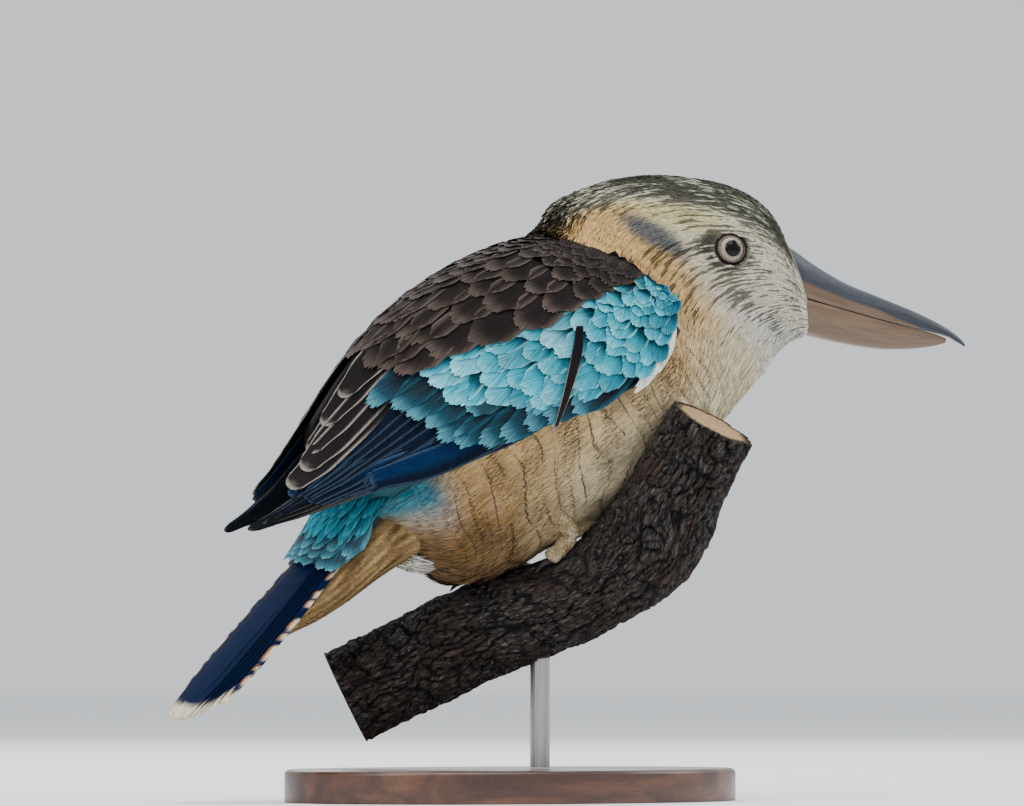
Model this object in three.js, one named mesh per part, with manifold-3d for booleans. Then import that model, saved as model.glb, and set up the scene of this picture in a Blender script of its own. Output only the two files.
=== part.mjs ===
// A male blue-winged kookaburra, life size, gripping a short cut length of branch over a plain display stand.
// Millimetres, +Z up. The body points along +X, its left side is +Y, and the origin is the middle of the
// stand's underside.
import * as THREE from "three";
import { mergeVertices } from "three/addons/utils/BufferGeometryUtils.js";
import Module from "manifold-3d";

const wasm = await Module();
wasm.setup();

// Driving dimensions, in millimetres and degrees
const GAP = 0.4; // left between pieces that touch
const TOLERANCE = 0.02; // the faces may be this far off where small ones are merged
const HEAD_TURN = -20; // the head looks to the bird's right
const BILL_DIP = -15; // the mouth line points this far below the horizon
const EYE_CENTRE = [90.3, 222]; // in the plane of symmetry, before the head turns
const EYE_OFFSET = 16.4;
const EYE_DROP = 1.6; // below the head frame's origin
const EYE_RADIUS = 7.2;
const LID_RADIUS = 6.2;
const LID_THICKNESS = 1.1;
const TAIL_ROOT = [-74, 1.2, 110.5]; // a little to the left, as the tail swings
const TAIL_SLOPE = 47.5;
const TAIL_ROLL = 8; // the tail's upper side leans towards the bird's right
const TAIL_LENGTH = 105; // from the root point to the tip of the middle feathers
const TAIL_WIDTH = 45.5;
const BASE_LENGTH = 190;
const BASE_WIDTH = 124;
const BASE_THICKNESS = 13;
const ROD_RADIUS = 4;

const RIGHT = -1;
const LEFT = 1;
const SIDES = { right: RIGHT, left: LEFT };

const rad = THREE.MathUtils.degToRad;
const lerp = THREE.MathUtils.lerp;
const smooth = THREE.MathUtils.smoothstep;
const vec = (x, y, z) => new THREE.Vector3(x, y, z);

// Solids

// A geometry as a solid, with its shared points merged and its faces turned outwards.
function solidOf(geometry) {
  const bare = new THREE.BufferGeometry().setAttribute("position", geometry.getAttribute("position"));
  bare.setIndex(geometry.index);
  const merged = mergeVertices(bare, 1e-4);
  const triVerts = new Uint32Array(merged.index.array);
  const vertProperties = merged.attributes.position.array;
  let made = new wasm.Manifold(new wasm.Mesh({ numProp: 3, vertProperties, triVerts }));
  if (made.volume() < 0) {
    for (let i = 0; i < triVerts.length; i += 3) {
      [triVerts[i + 1], triVerts[i + 2]] = [triVerts[i + 2], triVerts[i + 1]];
    }
    made = new wasm.Manifold(new wasm.Mesh({ numProp: 3, vertProperties, triVerts }));
  }
  return made;
}

// The largest closed body of a solid, as a geometry with flat faces.
function geometryOf(solid) {
  const bodies = solid.simplify(TOLERANCE).decompose();
  const largest = bodies.reduce((a, b) => (b.volume() > a.volume() ? b : a));
  const mesh = largest.getMesh();
  const geometry = new THREE.BufferGeometry();
  geometry.setAttribute("position", new THREE.BufferAttribute(new Float32Array(mesh.vertProperties), 3));
  geometry.setIndex(new THREE.BufferAttribute(new Uint32Array(mesh.triVerts), 1));
  geometry.computeVertexNormals();
  return geometry;
}

// A closed skin over rings of points, each ring with the same number of points, capped flat at both ends.
function loft(rings) {
  const count = rings[0].length;
  const points = rings.flat();
  const faces = [];
  for (let i = 0; i < rings.length - 1; i++) {
    for (let j = 0; j < count; j++) {
      const a = i * count + j;
      const b = i * count + ((j + 1) % count);
      faces.push(a, b, b + count, a, b + count, a + count);
    }
  }
  for (const end of [0, rings.length - 1]) {
    const middle = rings[end].reduce((sum, p) => sum.add(p), vec(0, 0, 0)).divideScalar(count);
    const hub = points.push(middle) - 1;
    for (let j = 0; j < count; j++) {
      const a = end * count + j;
      const b = end * count + ((j + 1) % count);
      faces.push(...(end === 0 ? [hub, b, a] : [hub, a, b]));
    }
  }
  return solidOf(new THREE.BufferGeometry().setFromPoints(points).setIndex(faces));
}

// The rings with both ends moved outwards along the form, so a room goes past the piece that it is for.
function stretched(rings, reach) {
  const centre = (ring) => ring.reduce((sum, p) => sum.add(p), vec(0, 0, 0)).divideScalar(ring.length);
  const moved = (end, next) => {
    const step = centre(end).sub(centre(next)).setLength(reach * 2);
    return end.map((point) => point.clone().add(step));
  };
  return reach > 0 ? [moved(rings[0], rings[1]), ...rings, moved(rings.at(-1), rings.at(-2))] : rings;
}

// A smooth curve through points at whole stations 0, 1, 2, ...
function track(points) {
  const curve = new THREE.CatmullRomCurve3(points, false, "catmullrom", 0.5);
  return (station) => curve.getPoint(THREE.MathUtils.clamp(station / (points.length - 1), 0, 1));
}

const range = (count, from, to) => Array.from({ length: count }, (_, i) => lerp(from, to, i / (count - 1)));

// The head's turn: a point of the straight bird, turned about the neck by a share of the whole angle.
const NECK_PIVOT_X = 50;
function turned(point, share) {
  const angle = rad(HEAD_TURN) * share;
  return point.sub(vec(NECK_PIVOT_X, 0, 0)).applyAxisAngle(vec(0, 0, 1), angle).add(vec(NECK_PIVOT_X, 0, 0));
}

// A form that is symmetrical about the bird's plane, from sections that each give a back point, a belly point
// (x, z) and a half width. The angle runs from the back, 0, round the given side to the belly, half a turn.
function formOf(sections) {
  const back = track(sections.map((s) => vec(s.back[0], 0, s.back[1])));
  const belly = track(sections.map((s) => vec(s.belly[0], 0, s.belly[1])));
  const half = track(sections.map((s) => vec(s.half, 0, 0)));
  return (station, angle, side, swell = 0) => {
    const top = back(station);
    const middle = top.clone().add(belly(station)).multiplyScalar(0.5);
    const up = top.sub(middle);
    up.setLength(up.length() + swell);
    const across = vec(0, side * (half(station).x + swell) * Math.sin(angle), 0);
    return middle.addScaledVector(up, Math.cos(angle)).add(across);
  };
}

// Body: one form from the tail root to the bill, parted into torso, neck and head
const BODY = [
  { back: [-82, 127], belly: [-54, 102], half: 15 },
  { back: [-78, 146], belly: [-39, 92], half: 25 },
  { back: [-69, 166], belly: [-24, 86], half: 33 },
  { back: [-52, 188], belly: [-5, 91], half: 38.5 },
  { back: [-28, 205], belly: [21, 104], half: 42.5 },
  { back: [-5, 216], belly: [49, 119.5], half: 43 },
  { back: [10, 222], belly: [74, 135], half: 40 },
  { back: [16, 229], belly: [91, 152], half: 34 },
  { back: [23, 239.5], belly: [101, 164], half: 29 },
  { back: [39, 248.5], belly: [107, 172], half: 25.5 },
  { back: [58, 252], belly: [110, 177], half: 23.5 },
  { back: [78, 251], belly: [113, 181], half: 22.5 },
  { back: [95, 247], belly: [117, 184.5], half: 20.5 },
  { back: [108, 238.5], belly: [121.5, 186.5], half: 17 },
  { back: [116.5, 224.5], belly: [127, 187.5], half: 12.6 },
];
const TORSO_END = 6.4;
const NECK_END = 9.6;
const HEAD_END = BODY.length - 1;
const NECK_PART = 0.035; // stations left open at the torso, and the next at the head
const HEAD_PART = 0.066;
const TURN_FROM = 6;
const TURN_TO = 10.5;
const AROUND = 26;
const TORSO_RINGS = 18;
const NECK_RINGS = 9;
const HEAD_RINGS = 14;
const bodyForm = formOf(BODY);

function bodyRing(station, swell) {
  const share = smooth(station, TURN_FROM, TURN_TO);
  return range(AROUND + 1, 0, 2 * Math.PI)
    .slice(0, AROUND)
    .map((angle) => turned(bodyForm(station, angle, RIGHT, swell), share));
}

const bodyLength = (from, to, count, swell = 0) =>
  loft(stretched(range(count, from, to).map((station) => bodyRing(station, swell)), swell));

// Head frame: ahead along the mouth line, out to the given side and up, from the point between the eyes
function headPoint(ahead, out, up) {
  const dip = rad(BILL_DIP);
  const x = EYE_CENTRE[0] + ahead * Math.cos(dip) - up * Math.sin(dip);
  const z = EYE_CENTRE[1] + ahead * Math.sin(dip) + up * Math.cos(dip);
  return turned(vec(x, out, z), 1);
}

// Bill: each half from sections of its distance ahead of the eyes, ridge, mouth line and half width
const UPPER_BILL = [
  { ahead: 12, ridge: 9.5, mouth: -10.9, half: 12 },
  { ahead: 25, ridge: 8.2, mouth: -10.9, half: 11.6 },
  { ahead: 37, ridge: 4, mouth: -10.8, half: 10.6 },
  { ahead: 51, ridge: 0.2, mouth: -10.9, half: 9.2 },
  { ahead: 67, ridge: -1.8, mouth: -10.8, half: 7.2 },
  { ahead: 83, ridge: -3.8, mouth: -10.2, half: 4.9 },
  { ahead: 95.5, ridge: -6.4, mouth: -9.8, half: 2.7 },
  { ahead: 101.5, ridge: -8.6, mouth: -11, half: 1.4 },
  { ahead: 105, ridge: -10.8, mouth: -12, half: 0.5 },
];
const LOWER_BILL = [
  { ahead: 14, ridge: -24.6, mouth: -11.3, half: 11.6 },
  { ahead: 28, ridge: -24.8, mouth: -11.3, half: 11.2 },
  { ahead: 43, ridge: -24.6, mouth: -11.3, half: 10 },
  { ahead: 57, ridge: -24, mouth: -11.3, half: 8.5 },
  { ahead: 71, ridge: -22.2, mouth: -11.2, half: 6.5 },
  { ahead: 83, ridge: -19, mouth: -10.7, half: 4.3 },
  { ahead: 92, ridge: -15.4, mouth: -10.4, half: 2.3 },
  { ahead: 97, ridge: -12.6, mouth: -10.8, half: 0.8 },
];
const BILL_AROUND = 13;
const BILL_FULLNESS = 0.8; // under 1 the sides bulge, as the horn does

function billHalf(sections, swell = 0) {
  const profile = track(sections.map((s) => vec(s.ahead, s.ridge, s.mouth)));
  const half = track(sections.map((s) => vec(s.half, 0, 0)));
  const rings = range(Math.round(sections.length * 1.5), 0, sections.length - 1).map((station) => {
    const { x: ahead, y: ridge, z: mouth } = profile(station);
    const width = half(station).x + swell;
    const foot = mouth - Math.sign(ridge - mouth) * swell;
    const height = ridge - mouth + 2 * Math.sign(ridge - mouth) * swell;
    return range(BILL_AROUND, 0, Math.PI).map((angle) =>
      headPoint(ahead, width * Math.cos(angle), foot + height * Math.sin(angle) ** BILL_FULLNESS),
    );
  });
  return loft(stretched(rings, swell));
}

// The room for both halves of the bill where they are rooted in the face
const BILL_ROOT = 2.6; // how far the room reaches, in sections of the upper half
function billSocket() {
  const profile = track(UPPER_BILL.map((s) => vec(s.ahead, s.ridge, s.mouth)));
  const half = track(UPPER_BILL.map((s) => vec(s.half, 0, 0)));
  const floor = LOWER_BILL[0].ridge - 2 * GAP;
  const rings = range(5, 0, BILL_ROOT).map((station) => {
    const { x: ahead, y: ridge, z: mouth } = profile(station);
    return range(2 * BILL_AROUND - 1, 0, 2 * Math.PI)
      .slice(0, -1)
      .map((angle) => {
        const reach = Math.abs(Math.sin(angle)) ** BILL_FULLNESS;
        const up = Math.sin(angle) > 0 ? lerp(mouth, ridge + GAP * 1.5, reach) : lerp(mouth, floor, reach);
        return headPoint(ahead, (half(station).x + GAP) * Math.cos(angle), up);
      });
  });
  return loft(stretched(rings, GAP));
}

const NOSTRIL = { ahead: 33, up: -5.2, length: 2.6, height: 0.8, depth: 1.2 };
function nostril(side) {
  const slit = new THREE.SphereGeometry(1, 10, 6);
  const out = 8.6;
  const place = headPoint(NOSTRIL.ahead, side * out, NOSTRIL.up);
  slit.scale(NOSTRIL.length, NOSTRIL.depth, NOSTRIL.height);
  slit.applyMatrix4(new THREE.Matrix4().makeRotationY(rad(-BILL_DIP + 12)));
  slit.applyMatrix4(new THREE.Matrix4().makeRotationZ(rad(HEAD_TURN)));
  slit.translate(place.x, place.y, place.z);
  return solidOf(slit);
}

// Eyes: a ball in its socket, with the lids a ring round the opening
function eyeBall(side, swell) {
  const ball = new THREE.SphereGeometry(EYE_RADIUS + swell, 12, 8);
  const place = headPoint(0, side * EYE_OFFSET, -EYE_DROP);
  ball.rotateX(Math.PI / 2);
  ball.rotateZ(rad(HEAD_TURN));
  ball.translate(place.x, place.y, place.z);
  return solidOf(ball);
}

function eyeOpening(side) {
  const opening = new THREE.CylinderGeometry(LID_RADIUS + 1.6, LID_RADIUS, 8, 18);
  if (side === RIGHT) {
    opening.rotateX(Math.PI);
  }
  const place = headPoint(0, side * (EYE_OFFSET + Math.sqrt(EYE_RADIUS ** 2 - LID_RADIUS ** 2) + 4), -EYE_DROP);
  opening.rotateZ(rad(HEAD_TURN));
  opening.translate(place.x, place.y, place.z);
  return solidOf(opening);
}

function lids(side) {
  const ring = new THREE.TorusGeometry(LID_RADIUS, LID_THICKNESS, 6, 18);
  const outward = Math.sqrt(EYE_RADIUS ** 2 - LID_RADIUS ** 2) + 0.6;
  const place = headPoint(0, side * (EYE_OFFSET + outward), -EYE_DROP);
  ring.rotateX(Math.PI / 2);
  ring.rotateZ(rad(HEAD_TURN));
  ring.translate(place.x, place.y, place.z);
  return solidOf(ring);
}

// Branch: a bent length under the body, its far end rising in front of the breast
const BRANCH = [
  { at: [-58.8, 31.8, 41.4], radius: 18.2 },
  { at: [-37.1, 21.7, 53], radius: 18.4 },
  { at: [-15.4, 10.5, 65], radius: 18.6 },
  { at: [6.9, -2.1, 75], radius: 17.8 },
  { at: [28.2, -15.3, 85.8], radius: 17.8 },
  { at: [46, -30.5, 103.4], radius: 20 },
  { at: [54.6, -43.5, 128], radius: 17.6 },
  { at: [62.8, -53.6, 150], radius: 16.4 },
];
const BRANCH_AROUND = 18;
const BRANCH_RINGS = 18;
const BARK_RIDGE = 0.9;
const branchLine = new THREE.CatmullRomCurve3(BRANCH.map((s) => vec(...s.at)), false, "catmullrom", 0.5);
const branchRadius = track(BRANCH.map((s) => vec(s.radius, 0, 0)));

// A point on the branch at a station, an angle from its top towards the bird's right, and a height over the bark.
function branchPoint(station, angle, height) {
  const share = station / (BRANCH.length - 1);
  const centre = branchLine.getPoint(share);
  const along = branchLine.getTangent(share);
  const up = vec(0, 0, 1);
  const top = up.addScaledVector(along, -up.dot(along)).normalize();
  const near = along.clone().cross(top);
  const reach = branchRadius(station).x + height;
  return centre.addScaledVector(top, reach * Math.cos(angle)).addScaledVector(near, reach * Math.sin(angle));
}

// Long bark ridges that wander round the branch, and that are worn flat where the feet grip.
function barkHeight(station, angle) {
  const worn = 1 - 0.9 * Math.exp(-(((station - GRIP_STATION) / 0.9) ** 2));
  const wave = Math.sin(angle * 9 + 1.7 * Math.sin(station * 2.1)) + 0.6 * Math.sin(angle * 4 - station * 3.3);
  return BARK_RIDGE * worn * wave * 0.6;
}
const GRIP_STATION = 3.9;

function branch(swell) {
  const rings = range(BRANCH_RINGS, 0, BRANCH.length - 1).map((station) =>
    range(BRANCH_AROUND + 1, 0, 2 * Math.PI)
      .slice(0, BRANCH_AROUND)
      .map((angle) => branchPoint(station, angle, barkHeight(station, angle) + swell)),
  );
  return loft(rings);
}

// A tapered limb along a list of points, each with its radius.
function limb(stops, around = 8, swell = 0) {
  const curve = new THREE.CatmullRomCurve3(stops.map((s) => s.at), false, "catmullrom", 0.5);
  const radius = track(stops.map((s) => vec(s.radius, 0, 0)));
  const count = stops.length;
  const rings = range(count, 0, 1).map((share) => {
    const along = curve.getTangent(share);
    const side = along.clone().cross(vec(0.31, 0.12, 1)).normalize();
    const other = along.clone().cross(side);
    const size = radius(share * (stops.length - 1)).x + swell;
    return range(around + 1, 0, 2 * Math.PI)
      .slice(0, around)
      .map((angle) =>
        curve
          .getPoint(share)
          .addScaledVector(side, size * Math.cos(angle))
          .addScaledVector(other, size * Math.sin(angle)),
      );
  });
  return loft(stretched(rings, swell));
}

// Feet: the palm's place on the branch, and each toe's way from it as stations along and degrees round
const FEET = {
  right: {
    ankle: [2, -25, 120],
    bend: [9, -25, 113.5],
    station: 4.2,
    round: 26,
    toes: {
      inner: { along: 0.12, round: -62, radius: 2.5 },
      middle: { along: 0.36, round: -66, radius: 2.7 },
      outer: { along: 0.55, round: -52, radius: 2.5 },
      hind: { along: -0.6, round: 14, radius: 2.8 },
    },
  },
  left: {
    ankle: [-6, 14, 107],
    bend: [-1, 10, 103],
    station: 2.95,
    round: -16,
    toes: {
      inner: { along: 0.5, round: -40, radius: 2.5 },
      middle: { along: 0.25, round: -58, radius: 2.7 },
      outer: { along: -0.1, round: -60, radius: 2.5 },
      hind: { along: -0.62, round: 6, radius: 2.8 },
    },
  },
};
const TOE_CLEARANCE = 0.8; // between the toe pads and the mean bark
const PALM_RADIUS = 3.7;
const TARSUS_RADIUS = 2.8;
const CLAW_LENGTH = 8;

const palmOf = (foot) => branchPoint(foot.station, rad(foot.round), TOE_CLEARANCE + PALM_RADIUS);

function toeStop(foot, toe, share, radius) {
  const station = foot.station + toe.along * share;
  const angle = rad(foot.round + toe.round * share);
  return { at: branchPoint(station, angle, TOE_CLEARANCE + radius), radius };
}

function toeLimb(foot, toe, swell) {
  const palm = { at: palmOf(foot), radius: toe.radius };
  const stops = [0.3, 0.55, 0.8, 1].map((share, i) =>
    toeStop(foot, toe, share, toe.radius * [1.05, 0.86, 1, 0.78][i]),
  );
  return limb([palm, ...stops], 6, swell);
}

const tarsus = (foot, swell) =>
  limb(
    [
      { at: vec(...foot.ankle), radius: TARSUS_RADIUS },
      { at: vec(...foot.bend), radius: TARSUS_RADIUS },
      { at: palmOf(foot), radius: PALM_RADIUS },
    ],
    8,
    swell,
  );

const footSolid = (foot, swell) =>
  Object.values(foot.toes).reduce((sum, toe) => sum.add(toeLimb(foot, toe, swell)), tarsus(foot, swell));

// A claw goes on from the toe's end, bent down to the bark.
function claw(foot, toe, swell = 0) {
  const reach = Math.hypot(toe.along * 28, (toe.round * Math.PI * 18) / 180);
  const step = CLAW_LENGTH / reach;
  const stops = [-0.1, 0.35, 0.75, 1].map((share, i) => {
    const height = [2.0, 2.2, 1.5, 0.8][i];
    const station = foot.station + toe.along * (1 + step * share);
    const angle = rad(foot.round + toe.round * (1 + step * share));
    return { at: branchPoint(station, angle, TOE_CLEARANCE + height), radius: [1.6, 1.3, 0.85, 0.3][i] };
  });
  return limb(stops, 6, swell);
}

// Legs: the feathered shanks that come out of the belly over each foot
function shank(foot, swell) {
  const [x, y, z] = foot.ankle;
  const stops = [
    { at: vec(x - 8, y * 0.92, z + 14), radius: 11 },
    { at: vec(x + 1, y * 0.98, z + 2), radius: 8.5 },
    { at: vec(...foot.bend).lerp(palmOf(foot), 0.3), radius: 5 },
  ];
  return limb(stops, 12, swell);
}

// Wing surface: a form that wraps the body outside the wings, from the bend of the wing to its tip
const WRAP = [
  { back: [22, 229], belly: [94, 160], half: 41 },
  { back: [8, 226], belly: [77, 139], half: 46.5 },
  { back: [-7, 222], belly: [55, 121], half: 50 },
  { back: [-28, 212.5], belly: [23, 104], half: 50.5 },
  { back: [-51, 197], belly: [-9, 92], half: 48 },
  { back: [-71, 176], belly: [-35, 92], half: 42.5 },
  { back: [-88, 151], belly: [-66, 101], half: 34 },
  { back: [-102, 130.5], belly: [-92, 103], half: 25.5 },
  { back: [-117, 116.3], belly: [-110, 103], half: 18.5 },
  { back: [-132, 105.5], belly: [-129, 101], half: 12 },
];
const wrapForm = formOf(WRAP);

// A surface for feathers: a point for two parameters, and the outward direction there
function skinOf(at, outward) {
  const up = (a, b) => {
    const along = at(a + 0.02, b).sub(at(a - 0.02, b));
    const round = at(a, b + 0.2).sub(at(a, b - 0.2));
    return along.cross(round).normalize().multiplyScalar(outward);
  };
  return { at, up, lifted: (a, b, height) => at(a, b).addScaledVector(up(a, b), height) };
}
const wingSkin = (side) => skinOf((station, degrees) => wrapForm(station, rad(degrees), side), -side);

// A closed slab between an upper and a lower grid of points, split into triangles alike on both faces
function slab(upper, lower) {
  const rows = upper.length;
  const columns = upper[0].length;
  const points = [...upper.flat(), ...lower.flat()];
  const under = rows * columns;
  const faces = [];
  const wall = (a, b) => faces.push(a, a + under, b + under, a, b + under, b);
  for (let i = 0; i < rows - 1; i++) {
    for (let j = 0; j < columns - 1; j++) {
      const a = i * columns + j;
      const c = a + columns + 1;
      faces.push(a, a + 1, c, a, c, c - 1);
      faces.push(a + under, c + under, a + 1 + under, a + under, c - 1 + under, c + under);
    }
    wall((i + 1) * columns, i * columns);
    wall((i + 1) * columns - 1, (i + 2) * columns - 1);
  }
  for (let j = 0; j < columns - 1; j++) {
    wall(j, j + 1);
    wall((rows - 1) * columns + j + 1, (rows - 1) * columns + j);
  }
  return solidOf(new THREE.BufferGeometry().setFromPoints(points).setIndex(faces));
}

// Feathers: the outline of a vane, as shares of its length and of its half width, and its thickness there
const VANE_THICKNESS = 0.85;
const LONG_VANE = [
  [0, 0.5, VANE_THICKNESS],
  [0.25, 0.85, VANE_THICKNESS],
  [0.6, 1, VANE_THICKNESS],
  [0.88, 0.8, VANE_THICKNESS],
  [1, 0.28, VANE_THICKNESS],
];
const SHORT_VANE = [
  [0, 0.5, 2],
  [0.4, 0.95, 2.6],
  [0.75, 0.9, 2.4],
  [1, 0.32, VANE_THICKNESS],
];
const VANE_TILT = 0.1; // each vane's outer edge lies over the next one's inner edge
const VANE_ROUNDNESS = 50; // radius of the vane's bend across
const EMERGES = 0.25; // the share of its length at which a vane leaves the flesh

// One vane from its sunk root to its tip. The heights are of its upper face, from the skin.
function vane(skin, { root, tip, width, heights, outline, tilt = VANE_TILT }) {
  const where = (share) => [lerp(root[0], tip[0], share), lerp(root[1], tip[1], share)];
  const upper = [];
  const lower = [];
  for (const [share, spread, thickness] of outline) {
    const centre = skin.at(...where(share));
    const up = skin.up(...where(share));
    const ahead = skin.at(...where(share + 0.01)).sub(skin.at(...where(share - 0.01)));
    const across = up.clone().cross(ahead).normalize();
    const lowered = tilt * Math.sign(across.z);
    const rise = lerp(heights[0], heights[1], Math.min(share / EMERGES, 1));
    const height = share < EMERGES ? rise : lerp(heights[1], heights[2], (share - EMERGES) / (1 - EMERGES));
    const row = [-1, 1].map((edge) => {
      const out = (edge * spread * width) / 2;
      const lift = height - lowered * out - (out * out) / (2 * VANE_ROUNDNESS);
      return centre.clone().addScaledVector(across, out).addScaledVector(up, lift);
    });
    upper.push(row);
    lower.push(row.map((point) => point.clone().addScaledVector(up, -thickness)));
  }
  return slab(upper, lower);
}

// A tier of vanes whose roots and tips follow two curves on the skin. A small seeded draw varies each one.
function tier(skin, { count, roots, tips, width, heights, outline = SHORT_VANE, tilt, step = 0 }, random) {
  const rootLine = track(roots.map(([a, b]) => vec(a, b, 0)));
  const tipLine = track(tips.map(([a, b]) => vec(a, b, 0)));
  return range(count, 0, 1).map((share, i) => {
    const root = rootLine(share * (roots.length - 1));
    const tip = tipLine(share * (tips.length - 1));
    const stretch = 1 + 0.06 * (random() - 0.5);
    const sway = 2 * (random() - 0.5);
    return vane(skin, {
      root: [root.x, root.y],
      tip: [lerp(root.x, tip.x, stretch), tip.y + sway],
      width: width * (1 + 0.08 * (random() - 0.5)),
      heights: heights.map((height) => height + step * i),
      outline,
      tilt,
    });
  });
}

function seeded(seed) {
  let state = seed;
  return () => {
    state = (state * 1664525 + 1013904223) % 4294967296;
    return state / 4294967296;
  };
}

// The wing's outline on its surface: its upper and lower edges, in degrees from the back, at each station
const WING_EDGES = [
  [62, 96],
  [38, 103],
  [24, 101],
  [16, 99],
  [10, 94],
  [8, 92],
  [8, 90],
];
const wingEdges = track(WING_EDGES.map(([high, low]) => vec(high, low, 0)));
const FLESH_TOP = -2.6; // the flesh under the vanes, from the wing surface
const FLESH_DEPTH = track([4.6, 9, 10, 10, 9, 8, 5.2].map((depth) => vec(depth, 0, 0)));
const FLESH_RIM = 4.4;
const FLESH_CELLS = 7;
const FLESH_END = 5.9;

function wingFlesh(skin) {
  const rings = range(12, 0, FLESH_END).map((station) => {
    const { x: high, y: low } = wingEdges(station);
    const inner = [];
    const outer = range(FLESH_CELLS, high, low).map((degrees, i) => {
      const rim = 4 * (i / (FLESH_CELLS - 1)) * (1 - i / (FLESH_CELLS - 1));
      const depth = lerp(FLESH_RIM, FLESH_DEPTH(station).x, Math.sqrt(rim));
      inner.unshift(skin.lifted(station, degrees, -depth));
      return skin.lifted(station, degrees, FLESH_TOP);
    });
    return [...outer, ...inner];
  });
  return loft(rings);
}

// The wing's tiers, each from the lower edge of the wing up to the back, in stations and degrees
const COVERT_HEIGHTS = [-4, -2, 0.8];
const WING_TIERS = {
  primaries: {
    count: 3,
    roots: [[5, 88], [5, 76], [5, 64]],
    tips: [[7.9, 98], [8.95, 82], [7.8, 62]],
    width: 14,
    heights: [-5.6, -5.4, -4.2],
    outline: LONG_VANE,
    tilt: 0,
    step: 1,
  },
  secondaries: {
    count: 5,
    roots: [[2.6, 90], [3.4, 78], [4.2, 54]],
    tips: [[5.7, 93], [6.7, 84], [7.3, 52]],
    width: 16,
    heights: [-4.2, -2.2, 0],
    outline: LONG_VANE,
    tilt: 0.13,
  },
  tertials: {
    count: 3,
    roots: [[4.2, 38], [4, 30], [3.5, 22]],
    tips: [[7.2, 38], [6.3, 28], [5.4, 22]],
    width: 18,
    heights: [-4.4, -1.8, 0.4],
    outline: LONG_VANE,
    tilt: 0,
    step: 0.9,
  },
  greater_coverts: {
    count: 4,
    roots: [[1.6, 92], [2.9, 81], [3.9, 46]],
    tips: [[3, 97], [4.6, 87], [5.45, 46]],
    width: 22,
    heights: COVERT_HEIGHTS,
  },
  median_coverts: {
    count: 4,
    roots: [[0.5, 88], [2.1, 81], [3.6, 56]],
    tips: [[1.3, 98], [3, 89], [4.7, 61]],
    width: 21,
    heights: COVERT_HEIGHTS,
  },
  lower_lesser_coverts: {
    count: 3,
    roots: [[0.15, 78], [1.4, 69], [2.8, 56]],
    tips: [[0.8, 88], [2.2, 79], [3.7, 62]],
    width: 21,
    heights: COVERT_HEIGHTS,
  },
  upper_lesser_coverts: {
    count: 2,
    roots: [[0.15, 66], [0.6, 56], [1.4, 53]],
    tips: [[0.8, 76], [1.5, 66], [2.3, 60]],
    width: 21,
    heights: COVERT_HEIGHTS,
  },
  lower_scapulars: {
    count: 4,
    roots: [[0.9, 42], [2.2, 40], [3.6, 26]],
    tips: [[1.9, 52], [3.5, 55], [4.9, 38]],
    width: 23,
    heights: [-4, -1.8, 1.2],
  },
  upper_scapulars: {
    count: 3,
    roots: [[1.2, 40], [2, 26], [3.2, 18]],
    tips: [[2.1, 38], [3.3, 36], [4.5, 24]],
    width: 24,
    heights: [-4, -1.4, 1.6],
  },
};

function wing(side) {
  const skin = wingSkin(side);
  const random = seeded(7);
  const vanes = Object.values(WING_TIERS).flatMap((row) => tier(skin, row, random));
  return vanes.reduce((sum, feather) => sum.add(feather), wingFlesh(skin));
}

// Tail: a surface whose first parameter runs from the root to the tip and whose second runs to the right
const TAIL_CAMBER = 0.006;
function tailPoint(along, out, height = 0) {
  const slope = rad(TAIL_SLOPE);
  const roll = rad(TAIL_ROLL);
  const back = vec(-Math.cos(slope), 0, -Math.sin(slope));
  const normal = vec(-Math.sin(slope), 0, Math.cos(slope));
  const across = vec(0, -Math.cos(roll), 0).addScaledVector(normal, -Math.sin(roll));
  const upward = normal.clone().multiplyScalar(Math.cos(roll)).add(vec(0, -Math.sin(roll), 0));
  return vec(...TAIL_ROOT)
    .addScaledVector(back, along)
    .addScaledVector(across, out)
    .addScaledVector(upward, height - TAIL_CAMBER * out * out);
}

const RUMP_FROM = -14;
const RUMP_TO = 36;
function rump(swell) {
  const rings = range(8, 0, 1).map((share) => {
    const half = (TAIL_WIDTH / 2) * lerp(0.82, 0.9, share) + swell;
    const thickness = lerp(25, 3.4, smooth(share, 0, 1)) + 2 * swell;
    const along = lerp(RUMP_FROM, RUMP_TO, share);
    return range(17, 0, 2 * Math.PI)
      .slice(0, 16)
      .map((angle) => tailPoint(along, half * Math.cos(angle), (thickness / 2) * Math.sin(angle) - 1));
  });
  return loft(stretched(rings, swell));
}

// Tail feathers in pairs, the middle pair on top and the longest
const TAIL_PAIRS = 5;
const TAIL_FEATHER_WIDTH = 13;
const TAIL_SHORTER = 13; // how far the outermost feathers stop short of the middle ones
const TAIL_STEP = 1.2; // each pair lies this far under the last
const tailSkin = {
  at: (along, out) => tailPoint(along, out),
  up: () => tailPoint(0, 0, 1).sub(tailPoint(0, 0, 0)),
};

function tailFeathers() {
  return range(TAIL_PAIRS, 0, 1).flatMap((share, k) =>
    [-1, 1].map((half) => {
      const level = -TAIL_STEP * k - (half < 0 ? TAIL_STEP / 2 : 0);
      const reach = TAIL_WIDTH / 2 - TAIL_FEATHER_WIDTH / 2;
      return vane(tailSkin, {
        root: [8, half * lerp(1, reach - 2, share)],
        tip: [TAIL_LENGTH - TAIL_SHORTER * share * share, half * lerp(2.5, reach, share)],
        width: TAIL_FEATHER_WIDTH,
        heights: [level, level + VANE_THICKNESS, level + VANE_THICKNESS],
        outline: LONG_VANE,
        tilt: 0,
      });
    }),
  );
}

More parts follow.
